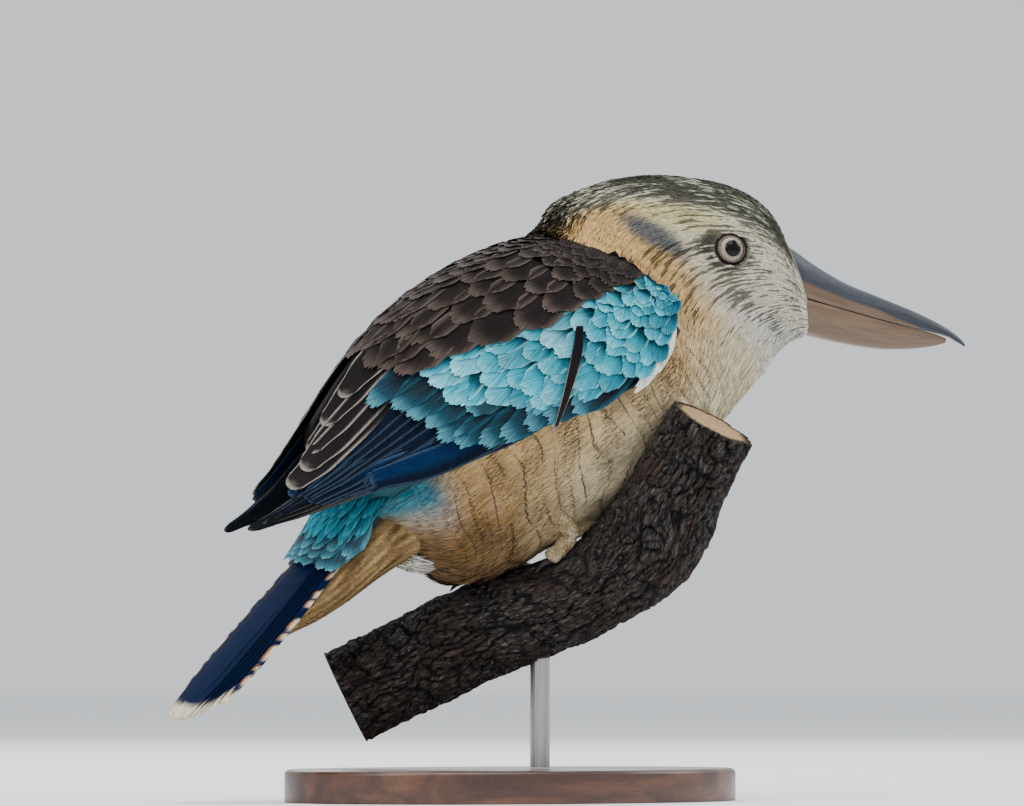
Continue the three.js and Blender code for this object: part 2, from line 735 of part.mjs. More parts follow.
// Upper tail coverts, in two rows over the roots of the tail
const TAIL_COVERTS = {
  upper: { count: 3, roots: [[-10, -13], [-10, 13]], tips: [[10, -14], [10, 15]], width: 18, heights: [5, 7.8, 8.3] },
  lower: { count: 4, roots: [[2, -13], [2, 14]], tips: [[24, -14], [22, 17]], width: 16, heights: [0.5, 4.8, 4.4] },
};

function tail() {
  const random = seeded(3);
  const coverts = Object.values(TAIL_COVERTS).flatMap((row) => tier(tailSkin, row, random));
  return [...tailFeathers(), ...coverts].reduce((sum, feather) => sum.add(feather), rump(0));
}

// The room that the tail takes, to keep the coverts under it clear
function tailRoom() {
  const rings = range(8, 0, 1).map((share) => {
    const along = lerp(0, TAIL_LENGTH, share);
    const half = TAIL_WIDTH / 2 + GAP;
    return [
      tailPoint(along, -half, 6),
      tailPoint(along, half, 6),
      tailPoint(along, half, -TAIL_STEP * TAIL_PAIRS - GAP),
      tailPoint(along, 0, -TAIL_STEP * TAIL_PAIRS - GAP),
      tailPoint(along, -half, -TAIL_STEP * TAIL_PAIRS - GAP),
    ];
  });
  return loft(rings).add(rump(GAP));
}

// Tail coverts: the soft buff feathers under the tail, as one tapering form below it
const UNDER_TAIL = [
  { back: [-62, 118], belly: [-38, 97], half: 19 },
  { back: [-71, 109], belly: [-48, 94], half: 19 },
  { back: [-81, 98], belly: [-60, 86.5], half: 18 },
  { back: [-91, 87], belly: [-73, 77.8], half: 15 },
  { back: [-100, 77], belly: [-86, 71.5], half: 9.5 },
  { back: [-106, 70], belly: [-98, 67.5], half: 4 },
];
const underTailForm = formOf(UNDER_TAIL);
function underTail() {
  const rings = range(7, 0, UNDER_TAIL.length - 1).map((station) =>
    range(15, 0, 2 * Math.PI)
      .slice(0, -1)
      .map((angle) => underTailForm(station, angle, RIGHT)),
  );
  return loft(rings);
}

// Stand: a flat oval base and one rod up into the underside of the branch
function base() {
  const outline = new THREE.Shape();
  outline.absellipse(0, 0, BASE_LENGTH / 2 - 2, BASE_WIDTH / 2 - 2, 0, 2 * Math.PI);
  const plate = new THREE.ExtrudeGeometry(outline, {
    depth: BASE_THICKNESS - 3,
    bevelThickness: 1.5,
    bevelSize: 2,
    bevelSegments: 1,
    curveSegments: 18,
  });
  plate.translate(0, 0, 1.5);
  return solidOf(plate);
}

const ROD_STATION = 2.9;
function rod() {
  const under = branchPoint(ROD_STATION, Math.PI, 0);
  const length = under.z + 12 - (BASE_THICKNESS + GAP);
  const bar = new THREE.CylinderGeometry(ROD_RADIUS, ROD_RADIUS, length, 20);
  bar.rotateX(Math.PI / 2);
  bar.translate(under.x, under.y, BASE_THICKNESS + GAP + length / 2);
  return solidOf(bar);
}

// Finishes
const finish = (color, roughness, metalness = 0) => new THREE.MeshStandardMaterial({ color, roughness, metalness });
const BUFF = finish(0xc9a878, 0.9);
const CREAM = finish(0xcfc3a4, 0.9);
const WING_BLUE = finish(0x3f6f86, 0.8);
const TAIL_BLUE = finish(0x14325f, 0.7);
const DARK_HORN = finish(0x2c313b, 0.4);
const PALE_HORN = finish(0xb79a76, 0.45);
const EYE = finish(0xcfc4b2, 0.1);
const SCALES = finish(0xb8a67f, 0.7);
const CLAW = finish(0x2a2622, 0.4);
const BARK = finish(0x3a302b, 0.95);
const BASE_WOOD = finish(0x4a3022, 0.4);
const STEEL = finish(0x9a9a98, 0.3, 1);

// Assembly
const bird = new THREE.Group();
function place(name, solid, material) {
  const mesh = new THREE.Mesh(geometryOf(solid), material);
  mesh.name = name;
  bird.add(mesh);
}

const upperBill = billHalf(UPPER_BILL);
const lowerBill = billHalf(LOWER_BILL);
const torsoRoom = bodyLength(0, TORSO_END, TORSO_RINGS, GAP);
const rumpRoom = torsoRoom.add(torsoRoom.translate([-GAP, 0, -GAP]));
const bodyRoom = torsoRoom.add(bodyLength(TORSO_END + NECK_PART, NECK_END, NECK_RINGS, GAP));
const branchRoom = branch(GAP);

let torso = bodyLength(0, TORSO_END, TORSO_RINGS);
let head = bodyLength(NECK_END + HEAD_PART, HEAD_END, HEAD_RINGS).subtract(billSocket());
for (const side of Object.values(SIDES)) {
  head = head.subtract(eyeOpening(side)).add(lids(side)).subtract(eyeBall(side, GAP));
}

for (const [name, side] of Object.entries(SIDES)) {
  const foot = FEET[name];
  const toes = Object.entries(foot.toes);
  const clawRooms = toes.map(([, toe]) => claw(foot, toe, GAP));
  torso = clawRooms.reduce((rest, room) => rest.subtract(room), torso);
  torso = torso.subtract(shank(foot, GAP * 2)).subtract(footSolid(foot, GAP));
  const gripping = clawRooms.reduce((rest, room) => rest.subtract(room), footSolid(foot, 0));
  place(`leg_${name}`, shank(foot, 0).subtract(footSolid(foot, GAP)).subtract(branchRoom), BUFF);
  place(`foot_${name}`, gripping.subtract(branchRoom), SCALES);
  for (const [toeName, toe] of toes) {
    place(`claw_${name}_${toeName}`, claw(foot, toe).subtract(branchRoom), CLAW);
  }
  place(`eye_${name}`, eyeBall(side, 0), EYE);
  place(`wing_${name}`, wing(side).subtract(bodyRoom), WING_BLUE);
}

place("torso", torso.subtract(branchRoom), BUFF);
place("neck", bodyLength(TORSO_END + NECK_PART, NECK_END, NECK_RINGS), CREAM);
place("head", head, CREAM);
place("bill_upper", upperBill.subtract(nostril(RIGHT)).subtract(nostril(LEFT)), DARK_HORN);
place("bill_lower", lowerBill, PALE_HORN);
place("tail", tail().subtract(rumpRoom), TAIL_BLUE);
place("tail_coverts_under", underTail().subtract(rumpRoom).subtract(tailRoom()), BUFF);
place("perch", branch(0), BARK);
place("stand_rod", rod().subtract(branchRoom), STEEL);
place("stand_base", base(), BASE_WOOD);

export default bird;
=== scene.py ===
import math

import bpy
import numpy as np
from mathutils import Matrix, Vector


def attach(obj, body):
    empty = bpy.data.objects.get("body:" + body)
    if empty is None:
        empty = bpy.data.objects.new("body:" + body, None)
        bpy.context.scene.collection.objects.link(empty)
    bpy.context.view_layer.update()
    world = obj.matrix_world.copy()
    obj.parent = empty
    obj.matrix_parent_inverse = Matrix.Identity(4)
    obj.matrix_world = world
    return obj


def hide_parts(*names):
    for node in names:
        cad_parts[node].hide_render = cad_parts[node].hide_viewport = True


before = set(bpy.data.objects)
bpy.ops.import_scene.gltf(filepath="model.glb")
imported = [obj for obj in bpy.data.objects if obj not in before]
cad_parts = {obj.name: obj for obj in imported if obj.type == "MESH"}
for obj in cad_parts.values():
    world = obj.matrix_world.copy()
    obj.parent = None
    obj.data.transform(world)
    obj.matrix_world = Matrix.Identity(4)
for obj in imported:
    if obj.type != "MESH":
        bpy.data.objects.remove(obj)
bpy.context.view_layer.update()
MM = 0.001

# Camera, light and floor
# The photograph looks at the bird from behind its right side, a little from below. A wide pale floor meets an
# even pale sky, and large soft lights stand in for the overcast.
FRAME_PIXELS = 1024
PIXEL_MM = 0.4
VIEW_TURN = math.radians(-25)
VIEW_RISE = math.radians(-2.5)
VIEW_DISTANCE = 2.5
SENSOR = 36
target = Vector((0, 0, 0.159))
toward_camera = Vector(
    (
        math.sin(VIEW_TURN) * math.cos(VIEW_RISE),
        -math.cos(VIEW_TURN) * math.cos(VIEW_RISE),
        math.sin(VIEW_RISE),
    )
)
camera = bpy.data.objects.new("camera", bpy.data.cameras.new("camera"))
camera.location = target + toward_camera * VIEW_DISTANCE
camera.rotation_euler = (-toward_camera).to_track_quat("-Z", "Y").to_euler()
camera.data.sensor_width = SENSOR
camera.data.lens = SENSOR * VIEW_DISTANCE / (FRAME_PIXELS * PIXEL_MM * MM)
camera.data.clip_end = 50
bpy.context.collection.objects.link(camera)
bpy.context.scene.camera = camera


def softbox(name, place, energy, size, tone):
    """A square area light of the given side in metres, turned towards the bird."""
    lamp = bpy.data.lights.new(name, "AREA")
    lamp.energy, lamp.size, lamp.color = energy, size, tone
    lamp_object = bpy.data.objects.new(name, lamp)
    lamp_object.location = place
    lamp_object.rotation_euler = (Vector(place) - target).to_track_quat("Z", "Y").to_euler()
    bpy.context.collection.objects.link(lamp_object)


softbox("sky_light", (-0.3, -0.6, 2.1), 36, 1.8, (1.0, 0.99, 0.97))
softbox("near_light", (-1.9, -1.3, 1.5), 17, 1.2, (1.0, 0.98, 0.95))
softbox("front_light", (1.8, -0.3, 1.4), 14, 1.0, (0.95, 0.98, 1.0))
softbox("back_light", (0.4, 1.6, 1.4), 24, 1.2, (0.94, 0.97, 1.0))
world = bpy.data.worlds.new("studio")
world.use_nodes = True
world.node_tree.nodes["Background"].inputs["Color"].default_value = (0.86, 0.9, 0.95, 1)
world.node_tree.nodes["Background"].inputs["Strength"].default_value = 0.98
bpy.context.scene.world = world


def add(tree, kind, inputs=(), **settings):
    """A shader node with its settings, and its inputs linked from sockets or set to values."""
    made = tree.nodes.new(kind)
    for name, value in settings.items():
        setattr(made, name, value)
    for name, value in dict(inputs).items():
        if isinstance(value, bpy.types.NodeSocket):
            tree.links.new(value, made.inputs[name])
        else:
            made.inputs[name].default_value = value
    return made


def finish(name, **sockets):
    """A material with one Principled shader whose named sockets are set: its tree and the shader."""
    made = bpy.data.materials.new(name)
    made.use_nodes = True
    shader = made.node_tree.nodes["Principled BSDF"]
    for socket, value in sockets.items():
        shader.inputs[socket.replace("_", " ")].default_value = value
    return made, made.node_tree, shader


def feed(shader, **sockets):
    """The shader's named inputs, each linked from a socket."""
    for name, socket in sockets.items():
        shader.id_data.links.new(socket, shader.inputs[name.replace("_", " ")])


def tone(code):
    """A colour given as six hexadecimal digits, in linear light."""
    part = np.array([int(code[i : i + 2], 16) for i in (0, 2, 4)]) / 255
    return np.where(part > 0.04045, ((part + 0.055) / 1.055) ** 2.4, part / 12.92)


def ramp(tree, value, stops):
    """A colour ramp over a value, from pairs of a place and a colour code."""
    made = add(tree, "ShaderNodeValToRGB", {"Fac": value})
    points = made.color_ramp.elements
    for place, _ in stops[1:-1]:
        points.new(place)
    for point, (place, code) in zip(points, stops):
        point.position = place
        point.color = (*tone(code), 1)
    return made.outputs["Color"]


def object_place(tree):
    """Each point's place on the object, in metres."""
    return add(tree, "ShaderNodeTexCoord").outputs["Object"]


def noise(tree, place, scale, detail=2.0, **inputs):
    """A soft random value of 0 to 1 over a place, finer by its scale and by its detail."""
    inputs = {"Vector": place, "Scale": scale, "Detail": detail, **inputs}
    return add(tree, "ShaderNodeTexNoise", inputs).outputs["Fac"]


def build(name, points, faces, material, bake=None, tints=None, **fields):
    """A mesh piece from points in millimetres and one or more arrays of faces.

    bake is the place of each point on the skin's unwrap, tints its colour, and each field a value or a
    vector for each point, which the materials read by its name.
    """
    mesh = bpy.data.meshes.new(name)
    points = points.reshape(-1, 3)
    corners = np.concatenate([group.ravel() for group in faces]).astype(np.int32)
    sizes = np.concatenate([np.full(len(group), group.shape[1]) for group in faces])
    mesh.vertices.add(len(points))
    mesh.vertices.foreach_set("co", (points * MM).astype(np.float32).ravel())
    mesh.loops.add(len(corners))
    mesh.loops.foreach_set("vertex_index", corners)
    mesh.polygons.add(len(sizes))
    mesh.polygons.foreach_set("loop_start", (np.cumsum(sizes) - sizes).astype(np.int32))
    mesh.polygons.foreach_set("use_smooth", np.ones(len(sizes), bool))
    if bake is not None:
        layer = mesh.uv_layers.new(name="OFBake")
        layer.data.foreach_set("uv", bake.reshape(-1, 2)[corners].astype(np.float32).ravel())
    if tints is not None:
        colour = mesh.attributes.new("tint", "FLOAT_COLOR", "POINT")
        opaque = np.ones((len(points), 4), np.float32)
        opaque[:, :3] = tints.reshape(-1, 3)
        colour.data.foreach_set("color", opaque.ravel())
    for field, values in fields.items():
        flat = values.reshape(len(points), -1).astype(np.float32)
        kind, slot = ("FLOAT_VECTOR", "vector") if flat.shape[1] == 3 else ("FLOAT", "value")
        mesh.attributes.new(field, kind, "POINT").data.foreach_set(slot, flat.ravel())
    mesh.update(calc_edges=True)
    mesh.materials.append(material)
    piece = bpy.data.objects.new(name, mesh)
    bpy.context.collection.objects.link(piece)
    return piece


def grid_faces(rows, columns, around=False):
    """Quads between neighbouring points of a grid, closed over the last column if it goes around."""
    row, column = np.meshgrid(np.arange(rows - 1), np.arange(columns - (not around)), indexing="ij")
    a = (row * columns + column).ravel()
    b = (row * columns + (column + 1) % columns).ravel()
    return np.stack([a, b, b + columns, a + columns], -1)


def once_round(count):
    """Even angles of a whole turn, from nothing up to just before its end."""
    return np.linspace(0, 2 * np.pi, count, endpoint=False)


FLOOR_RADIUS = 14000
FLOOR_ROWS, FLOOR_COLUMNS = 20, 96
turn_at = once_round(FLOOR_COLUMNS)
out = np.linspace(0.01, 1, FLOOR_ROWS)[:, None] ** 2 * FLOOR_RADIUS
floor_points = np.stack([out * np.cos(turn_at), out * np.sin(turn_at), 0 * out * turn_at], -1)
floor_points = np.concatenate([floor_points.reshape(-1, 3), [(0, 0, 0)]])
first = np.arange(FLOOR_COLUMNS)
middle = np.stack([first, np.roll(first, -1), np.full_like(first, FLOOR_ROWS * FLOOR_COLUMNS)], -1)
floor_faces = [grid_faces(FLOOR_ROWS, FLOOR_COLUMNS, around=True)[:, ::-1], middle]
floor_finish, tree, shader = finish("studio_floor", Roughness=0.75)
speckle = noise(tree, object_place(tree), 60.0)
feed(shader, Base_Color=ramp(tree, speckle, [(0.3, "eff1f2"), (0.7, "f4f5f6")]))
floor_piece = build("studio_floor", floor_points, floor_faces, floor_finish)

# Perch
# The branch follows the same centre line and radii as the solid, under long bark plates parted by furrows
# that wander along it. Both ends are sawn across and show rough, pale wood.
BRANCH = np.array(
    [
        (-58.8, 31.8, 41.4, 18.2),
        (-37.1, 21.7, 53, 18.4),
        (-15.4, 10.5, 65, 18.6),
        (6.9, -2.1, 75, 17.8),
        (28.2, -15.3, 85.8, 17.8),
        (46, -30.5, 103.4, 20),
        (54.6, -43.5, 128, 17.6),
        (62.8, -53.6, 150, 16.4),
    ]
)
GRIP_STATION = 3.9


def spline(rows, station):
    """Catmull-Rom curve through the rows at whole stations, each end carried on by its last step."""
    rows = np.asarray(rows, float)
    station = np.clip(station, 0, len(rows) - 1)
    padded = np.vstack([2 * rows[0] - rows[1], rows, 2 * rows[-1] - rows[-2]])
    cell = np.minimum(np.floor(station).astype(int), len(rows) - 2)
    t = (station - cell)[..., None]
    a, b, c, d = (padded[cell + i] for i in range(4))
    return (2 * b + (c - a) * t + (2 * a - 5 * b + 4 * c - d) * t**2 + (3 * b - 3 * c + d - a) * t**3) / 2


def unit(vectors):
    """Each vector divided by its length."""
    return vectors / np.maximum(np.linalg.norm(vectors, axis=-1, keepdims=True), 1e-9)


def branch_point(station, angle, height):
    """The branch's surface point at an angle from its top towards the bird's right, raised by a height."""
    station, angle, height = np.broadcast_arrays(*(np.asarray(v, float) for v in (station, angle, height)))
    spot = spline(BRANCH, station)
    along = unit(spline(BRANCH, station + 0.01)[..., :3] - spline(BRANCH, station - 0.01)[..., :3])
    top = unit(np.array([0.0, 0.0, 1.0]) - along * along[..., 2:])
    near = np.cross(along, top)
    reach = (spot[..., 3] + height)[..., None]
    return spot[..., :3] + reach * (top * np.cos(angle)[..., None] + near * np.sin(angle)[..., None])


def waves(points, size, seed, count=14):
    """A smooth random field of about -1 to 1: a sum of sine waves of about one size in all directions."""
    draw = np.random.default_rng(seed)
    push = unit(draw.normal(size=(count, points.shape[-1]))) * draw.uniform(0.7, 1.5, (count, 1)) / size
    phase = draw.uniform(0, 2 * np.pi, count)
    return np.sin(2 * np.pi * points @ push.T + phase).sum(-1) / math.sqrt(count)


def smooth(value, low, high):
    """0 below low, 1 above high, and an even S curve between."""
    share = np.clip((value - low) / (high - low), 0, 1)
    return share * share * (3 - 2 * share)


def closed(points, start=0, hubs=None):
    """A grid that goes round, closed by a fan to a middle point at each end.

    It gives the points, and the quads and the fans' triangles with their numbers counted from a start. Where
    no middle points are given, they are the means of the end rows.
    """
    rows, columns = points.shape[:2]
    hubs = np.stack([points[0].mean(0), points[-1].mean(0)]) if hubs is None else hubs
    first, last = np.arange(columns), (rows - 1) * columns + np.arange(columns)
    opening = np.stack([np.full(columns, rows * columns), np.roll(first, -1), first], -1)
    ending = np.stack([np.full(columns, rows * columns + 1), last, np.roll(last, -1)], -1)
    quads = grid_faces(rows, columns, around=True) + start
    return np.concatenate([points.reshape(-1, 3), hubs]), quads, np.concatenate([opening, ending]) + start


BARK_ROWS, BARK_COLUMNS = 310, 190
BARK_RADIUS, STATION_MM = 18, 26
FURROW_DEPTH, FURROW_LIMIT = 2.1, 1.2
CUT_RINGS = 5
stations = np.linspace(0, len(BRANCH) - 1, BARK_ROWS)
station, angle = np.meshgrid(stations, once_round(BARK_COLUMNS), indexing="ij")
lay = np.stack([BARK_RADIUS * np.cos(angle), BARK_RADIUS * np.sin(angle), station * STATION_MM], -1)
drift = np.stack([waves(lay, 22, 1), waves(lay, 22, 2), waves(lay, 30, 6)], -1)
wander = (lay + 1.8 * drift) * (1, 1, 0.24)
plates = np.abs(waves(wander, 5.2, 3, 24))
cracks = np.abs(waves(wander * (1, 1, 2.2), 4.6, 4, 24))
flakes = waves(lay * (1, 1, 0.3), 1.6, 5, 24)
furrow = 1 - smooth(plates, 0.0, 0.42) + 0.7 * (1 - smooth(cracks, 0.0, 0.2))
furrow = np.clip(furrow, 0, FURROW_LIMIT)
worn = 1 - 0.8 * np.exp(-(((station - GRIP_STATION) / 0.8) ** 2)) * (np.cos(angle) > -0.2)
bark_height = worn * (1.0 - FURROW_DEPTH * furrow + 0.3 * flakes + 0.3 * waves(lay, 14, 7))
bark_points = branch_point(station, angle, bark_height)
hub_points = spline(BRANCH, np.array([0.0, len(BRANCH) - 1]))[:, :3]
inward = np.linspace(0, 1, CUT_RINGS + 1)[1:-1, None, None]
starting = hub_points[0] * inward + bark_points[0] * (1 - inward)
ending = hub_points[1] * inward + bark_points[-1] * (1 - inward)
bark_grid = np.concatenate([starting[::-1], bark_points, ending])


def over_bark(values, elsewhere):
    """A field with its own values on the bark, and one value on the cut ends."""
    count = bark_grid.shape[0] * BARK_COLUMNS
    field = np.full((count + 2, *values.shape[2:]), float(elsewhere))
    rings = field[:count].reshape(-1, *values.shape[1:])
    rings[CUT_RINGS - 1 : 1 - CUT_RINGS] = values
    return field


def stretched(tree, place, scale):
    """A place with each direction drawn out by its own scale."""
    return add(tree, "ShaderNodeMapping", {"Vector": place, "Scale": scale}).outputs["Vector"]


def cells(tree, place, scale, feature="F1"):
    """How far each point is from the middle of its random cell, or from the cell's edge."""
    made = add(tree, "ShaderNodeTexVoronoi", {"Vector": place, "Scale": scale}, feature=feature)
    return made.outputs["Distance"]


def attribute(tree, name, output="Fac"):
    """A value, vector or colour that the mesh carries for each point."""
    return add(tree, "ShaderNodeAttribute", attribute_name=name).outputs[output]


def reckon(tree, operation, *values, **settings):
    """The result of an arithmetic step on its values."""
    return add(tree, "ShaderNodeMath", dict(enumerate(values)), operation=operation, **settings).outputs[0]


def spread(tree, value, low, high, start=0.0, end=1.0):
    """A value of low to high spread over start to end, and held at both."""
    return add(tree, "ShaderNodeMapRange", {0: value, 1: low, 2: high, 3: start, 4: end}).outputs[0]


def mix(tree, share, first, second, **settings):
    """A colour between two by a share, each given as a socket or as a colour code."""
    first, second = ((*tone(side), 1) if isinstance(side, str) else side for side in (first, second))
    inputs = {0: share, 6: first, 7: second}
    return add(tree, "ShaderNodeMix", inputs, data_type="RGBA", **settings).outputs[2]


def relief(tree, height, strength, distance):
    """The normal of a surface raised by a height of 0 to 1 times a distance in metres."""
    made = add(tree, "ShaderNodeBump", {"Height": height, "Strength": strength, "Distance": distance})
    return made.outputs["Normal"]


bark_finish, tree, shader = finish("bark", Roughness=0.88, Specular_IOR_Level=0.3)
lie = attribute(tree, "lay", "Vector")
bent = add(tree, "ShaderNodeTexNoise", {"Vector": lie, "Scale": 0.25, "Detail": 3.0}).outputs["Color"]
pulled = add(tree, "ShaderNodeVectorMath", {0: bent, 3: 2.6}, operation="SCALE").outputs[0]
pulled = add(tree, "ShaderNodeVectorMath", {0: lie, 1: pulled}, operation="ADD").outputs[0]
fibres = stretched(tree, pulled, (1, 1, 0.2))
grain = noise(tree, fibres, 1.4, 9.0, Roughness=0.74)
chinks = spread(tree, cells(tree, fibres, 0.55, "DISTANCE_TO_EDGE"), 0.0, 0.16)
cool = ramp(tree, grain, [(0.34, "121011"), (0.46, "302b29"), (0.57, "58524d"), (0.7, "a09990")])
warm = ramp(tree, grain, [(0.34, "181210"), (0.5, "40332e"), (0.63, "66503f"), (0.76, "a08a72")])
plate_colour = mix(tree, spread(tree, noise(tree, lie, 0.09, 4.0), 0.48, 0.6), cool, warm)
# The cell edges and the deep furrows are painted near black: painted shade in the bark's cracks and furrows,
# by their depth.
split = reckon(tree, "SUBTRACT", 1.0, chinks)
crack_shade = reckon(tree, "MULTIPLY_ADD", split, 0.7, attribute(tree, "depth"), use_clamp=True)
bark_colour = mix(tree, crack_shade, plate_colour, "0f0b0a")
sawn = noise(tree, object_place(tree), 900.0, 4.0)
sawn_colour = ramp(tree, sawn, [(0.3, "7b5f43"), (0.5, "a58660"), (0.7, "c2a67e")])
feed(shader, Base_Color=mix(tree, attribute(tree, "cut"), bark_colour, sawn_colour))
feed(shader, Normal=relief(tree, reckon(tree, "MULTIPLY_ADD", chinks, 0.5, grain), 1.0, 0.0016))
points, quads, caps = closed(bark_grid, hubs=hub_points)
perch = build(
    "perch_bark",
    points,
    [quads, caps],
    bark_finish,
    lay=over_bark(lay, 0),
    cut=over_bark(0 * station, 1),
    depth=over_bark(furrow / FURROW_LIMIT, 0),
)
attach(perch, "root")
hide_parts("perch")

# Stand
# The rod keeps its solid, in brushed steel. The base is turned finer than its solid, in dark varnished wood
# with a rounded edge.
steel_finish, tree, shader = finish("stand_steel", Metallic=1.0, Roughness=0.32)
brushed = noise(tree, stretched(tree, object_place(tree), (900, 900, 20)), 1.0, 3.0)
feed(shader, Base_Color=ramp(tree, brushed, [(0.3, "8e8e8c"), (0.7, "b4b4b0")]))
feed(shader, Roughness=spread(tree, brushed, 0.0, 1.0, 0.24, 0.42))
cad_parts["stand_rod"].data.materials.clear()
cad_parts["stand_rod"].data.materials.append(steel_finish)

BASE_HALF = (95, 62)
BASE_HEIGHT, BASE_MIDDLE = 13, 60
BASE_EDGE = 2.2
BASE_FOOT = BASE_EDGE * 0.35
BASE_COLUMNS = 160
turn_at = once_round(BASE_COLUMNS)
quarter = np.linspace(0, np.pi / 2, 7)
foot_inset, edge_inset = BASE_FOOT * (1 - np.sin(quarter)), BASE_EDGE * (1 - np.cos(quarter))
foot_height, edge_drop = BASE_FOOT * (1 - np.cos(quarter)), BASE_EDGE * (1 - np.sin(quarter))
inset = np.concatenate([[BASE_MIDDLE], foot_inset, edge_inset, [4, 14, BASE_MIDDLE]])[:, None]
height = np.concatenate([[0], foot_height, BASE_HEIGHT - edge_drop, [BASE_HEIGHT] * 3])[:, None]
base_points = np.stack(
    [
        (BASE_HALF[0] - inset) * np.cos(turn_at),
        (BASE_HALF[1] - inset) * np.sin(turn_at),
        np.broadcast_to(height, (len(height), BASE_COLUMNS)),
    ],
    -1,
)
wood_finish, tree, shader = finish("stand_wood", Roughness=0.38, Coat_Weight=0.35, Coat_Roughness=0.2)
place = object_place(tree)
figure = noise(tree, stretched(tree, place, (6, 60, 60)), 1.6, 6.0, Distortion=0.6)
pores = noise(tree, stretched(tree, place, (60, 1500, 1500)), 1.0)
grained = reckon(tree, "ADD", figure, reckon(tree, "MULTIPLY", pores, 0.25))
feed(shader, Base_Color=ramp(tree, grained, [(0.4, "2b1710"), (0.6, "4c2c1c"), (0.8, "6a432b")]))
feed(shader, Normal=relief(tree, pores, 0.15, 0.0002))
points, quads, caps = closed(base_points, hubs=[(0, 0, 0), (0, 0, BASE_HEIGHT)])
stand = build("stand_plinth", points, [quads, caps], wood_finish)
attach(stand, "root")
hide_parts("stand_base")

# Skin
# One skin under the coat: the body from tail root to bill, the shanks, the cone under the tail, the rump and
# the core of each wing. It lies inside the solids by the depth of the coat and carries the coat's markings.
BODY = np.array(
    [
        (-82, 127, -54, 102, 15),
        (-78, 146, -39, 92, 25),
        (-69, 166, -24, 86, 33),
        (-52, 188, -5, 91, 38.5),
        (-28, 205, 21, 104, 42.5),
        (-5, 216, 49, 119.5, 43),
        (10, 222, 74, 135, 40),
        (16, 229, 91, 152, 34),
        (23, 239.5, 101, 164, 29),
        (39, 248.5, 107, 172, 25.5),
        (58, 252, 110, 177, 23.5),
        (78, 251, 113, 181, 22.5),
        (95, 247, 117, 184.5, 20.5),
        (108, 238.5, 121.5, 186.5, 17),
        (116.5, 224.5, 127, 187.5, 12.6),
    ],
    float,
)
HEAD_STATION = 14
TURN_FROM, TURN_TO = 6, 10.5
HEAD_TURN = math.radians(-20)
BILL_DIP = math.radians(-15)
NECK_PIVOT = 50
EYE_CENTRE = (90.3, 222)
EYE_DROP = 1.6
GAZE_AHEAD, GAZE_UP, GAZE_REACH = 0.2, 0.17, 6
COAT_DEPTH = 1.7
BAKE_MARGIN = 0.004


def turned(points, share):
    """The points turned about the neck's upright axis by a share of the head's whole turn."""
    angle = HEAD_TURN * np.asarray(share, float)
    x, y = points[..., 0] - NECK_PIVOT, points[..., 1]
    turned_x = x * np.cos(angle) - y * np.sin(angle) + NECK_PIVOT
    return np.stack([turned_x, x * np.sin(angle) + y * np.cos(angle), points[..., 2]], -1)


def form(sections, station, angle, swell=0.0):
    """A form from sections of a back point, a belly point and a half width, each ring an ellipse.

    The angle runs from the back, 0, to the belly, half a turn; it is positive on the bird's right.
    """
    spot = spline(sections, station)
    middle = (spot[..., :2] + spot[..., 2:4]) / 2
    up = spot[..., :2] - middle
    length = np.linalg.norm(up, axis=-1)
    up = up * ((length + swell) / length * np.cos(angle))[..., None]
    out = -(spot[..., 4] + swell) * np.sin(angle)
    return np.stack([middle[..., 0] + up[..., 0], out, middle[..., 1] + up[..., 1]], -1)


def body(station, angle, swell=0.0):
    """The body's surface: its form, turned at the neck more and more towards the head."""
    return turned(form(BODY, station, angle, swell), smooth(station, TURN_FROM, TURN_TO))


def head_place(points):
    """How far each point is ahead along the mouth line, out to the left and up, from between the eyes."""
    x, y = points[..., 0] - NECK_PIVOT, points[..., 1]
    side = -x * math.sin(HEAD_TURN) + y * math.cos(HEAD_TURN)
    x = x * math.cos(HEAD_TURN) + y * math.sin(HEAD_TURN) + NECK_PIVOT - EYE_CENTRE[0]
    z = points[..., 2] - EYE_CENTRE[1]
    ahead = x * math.cos(BILL_DIP) + z * math.sin(BILL_DIP)
    return np.stack([ahead, side, -x * math.sin(BILL_DIP) + z * math.cos(BILL_DIP)], -1)


def eye_distance(points):
    """How far each point is from the middle of the nearer eye's lids, seen from the side of the head."""
    place = head_place(points)
    return np.hypot(place[..., 0] - GAZE_REACH * GAZE_AHEAD, place[..., 2] + EYE_DROP - GAZE_REACH * GAZE_UP)


def outward(surface, station, angle):
    """The unit normal of a surface: across its two directions, both a small step long."""
    along = surface(station + 0.02, angle) - surface(station - 0.02, angle)
    sideways = surface(station, angle + 0.01) - surface(station, angle - 0.01)
    return unit(np.cross(sideways, along))


def mixed(first, second, share):
    """Colours between two, by a share for each point."""
    return first + (second - first) * np.asarray(share)[..., None]


BUFF, OCHRE, CREAM, WHITE = tone("cba66e"), tone("8a6330"), tone("dcd2b0"), tone("e6e2d6")
GREY, SLATE, BLACKISH, CHOCOLATE = tone("a39c92"), tone("46525e"), tone("15130f"), tone("2a1f1c")
TURQUOISE, TEAL, BROW, CROWN_PALE = tone("2893a6"), tone("0e4a5e"), tone("d2cb8e"), tone("b9b9a6")


def blot(value, centre, width):
    """A soft bump of one at a centre, falling to nothing over about the width."""
    return np.exp(-(((value - centre) / width) ** 2))


CROWN_STATIONS = [6.2, 7.4, 8, 8.6, 9.4, 10.2, 11, 12.4, 14]
CROWN_ANGLES = [0.1, 0.36, 0.46, 0.58, 0.68, 0.8, 0.9, 1.1, 1.25]
EAR_PLACE, EAR_SLANT, EAR_HALF = (-31.4, -4), (0.965, 0.26), (18.5, 5.8)


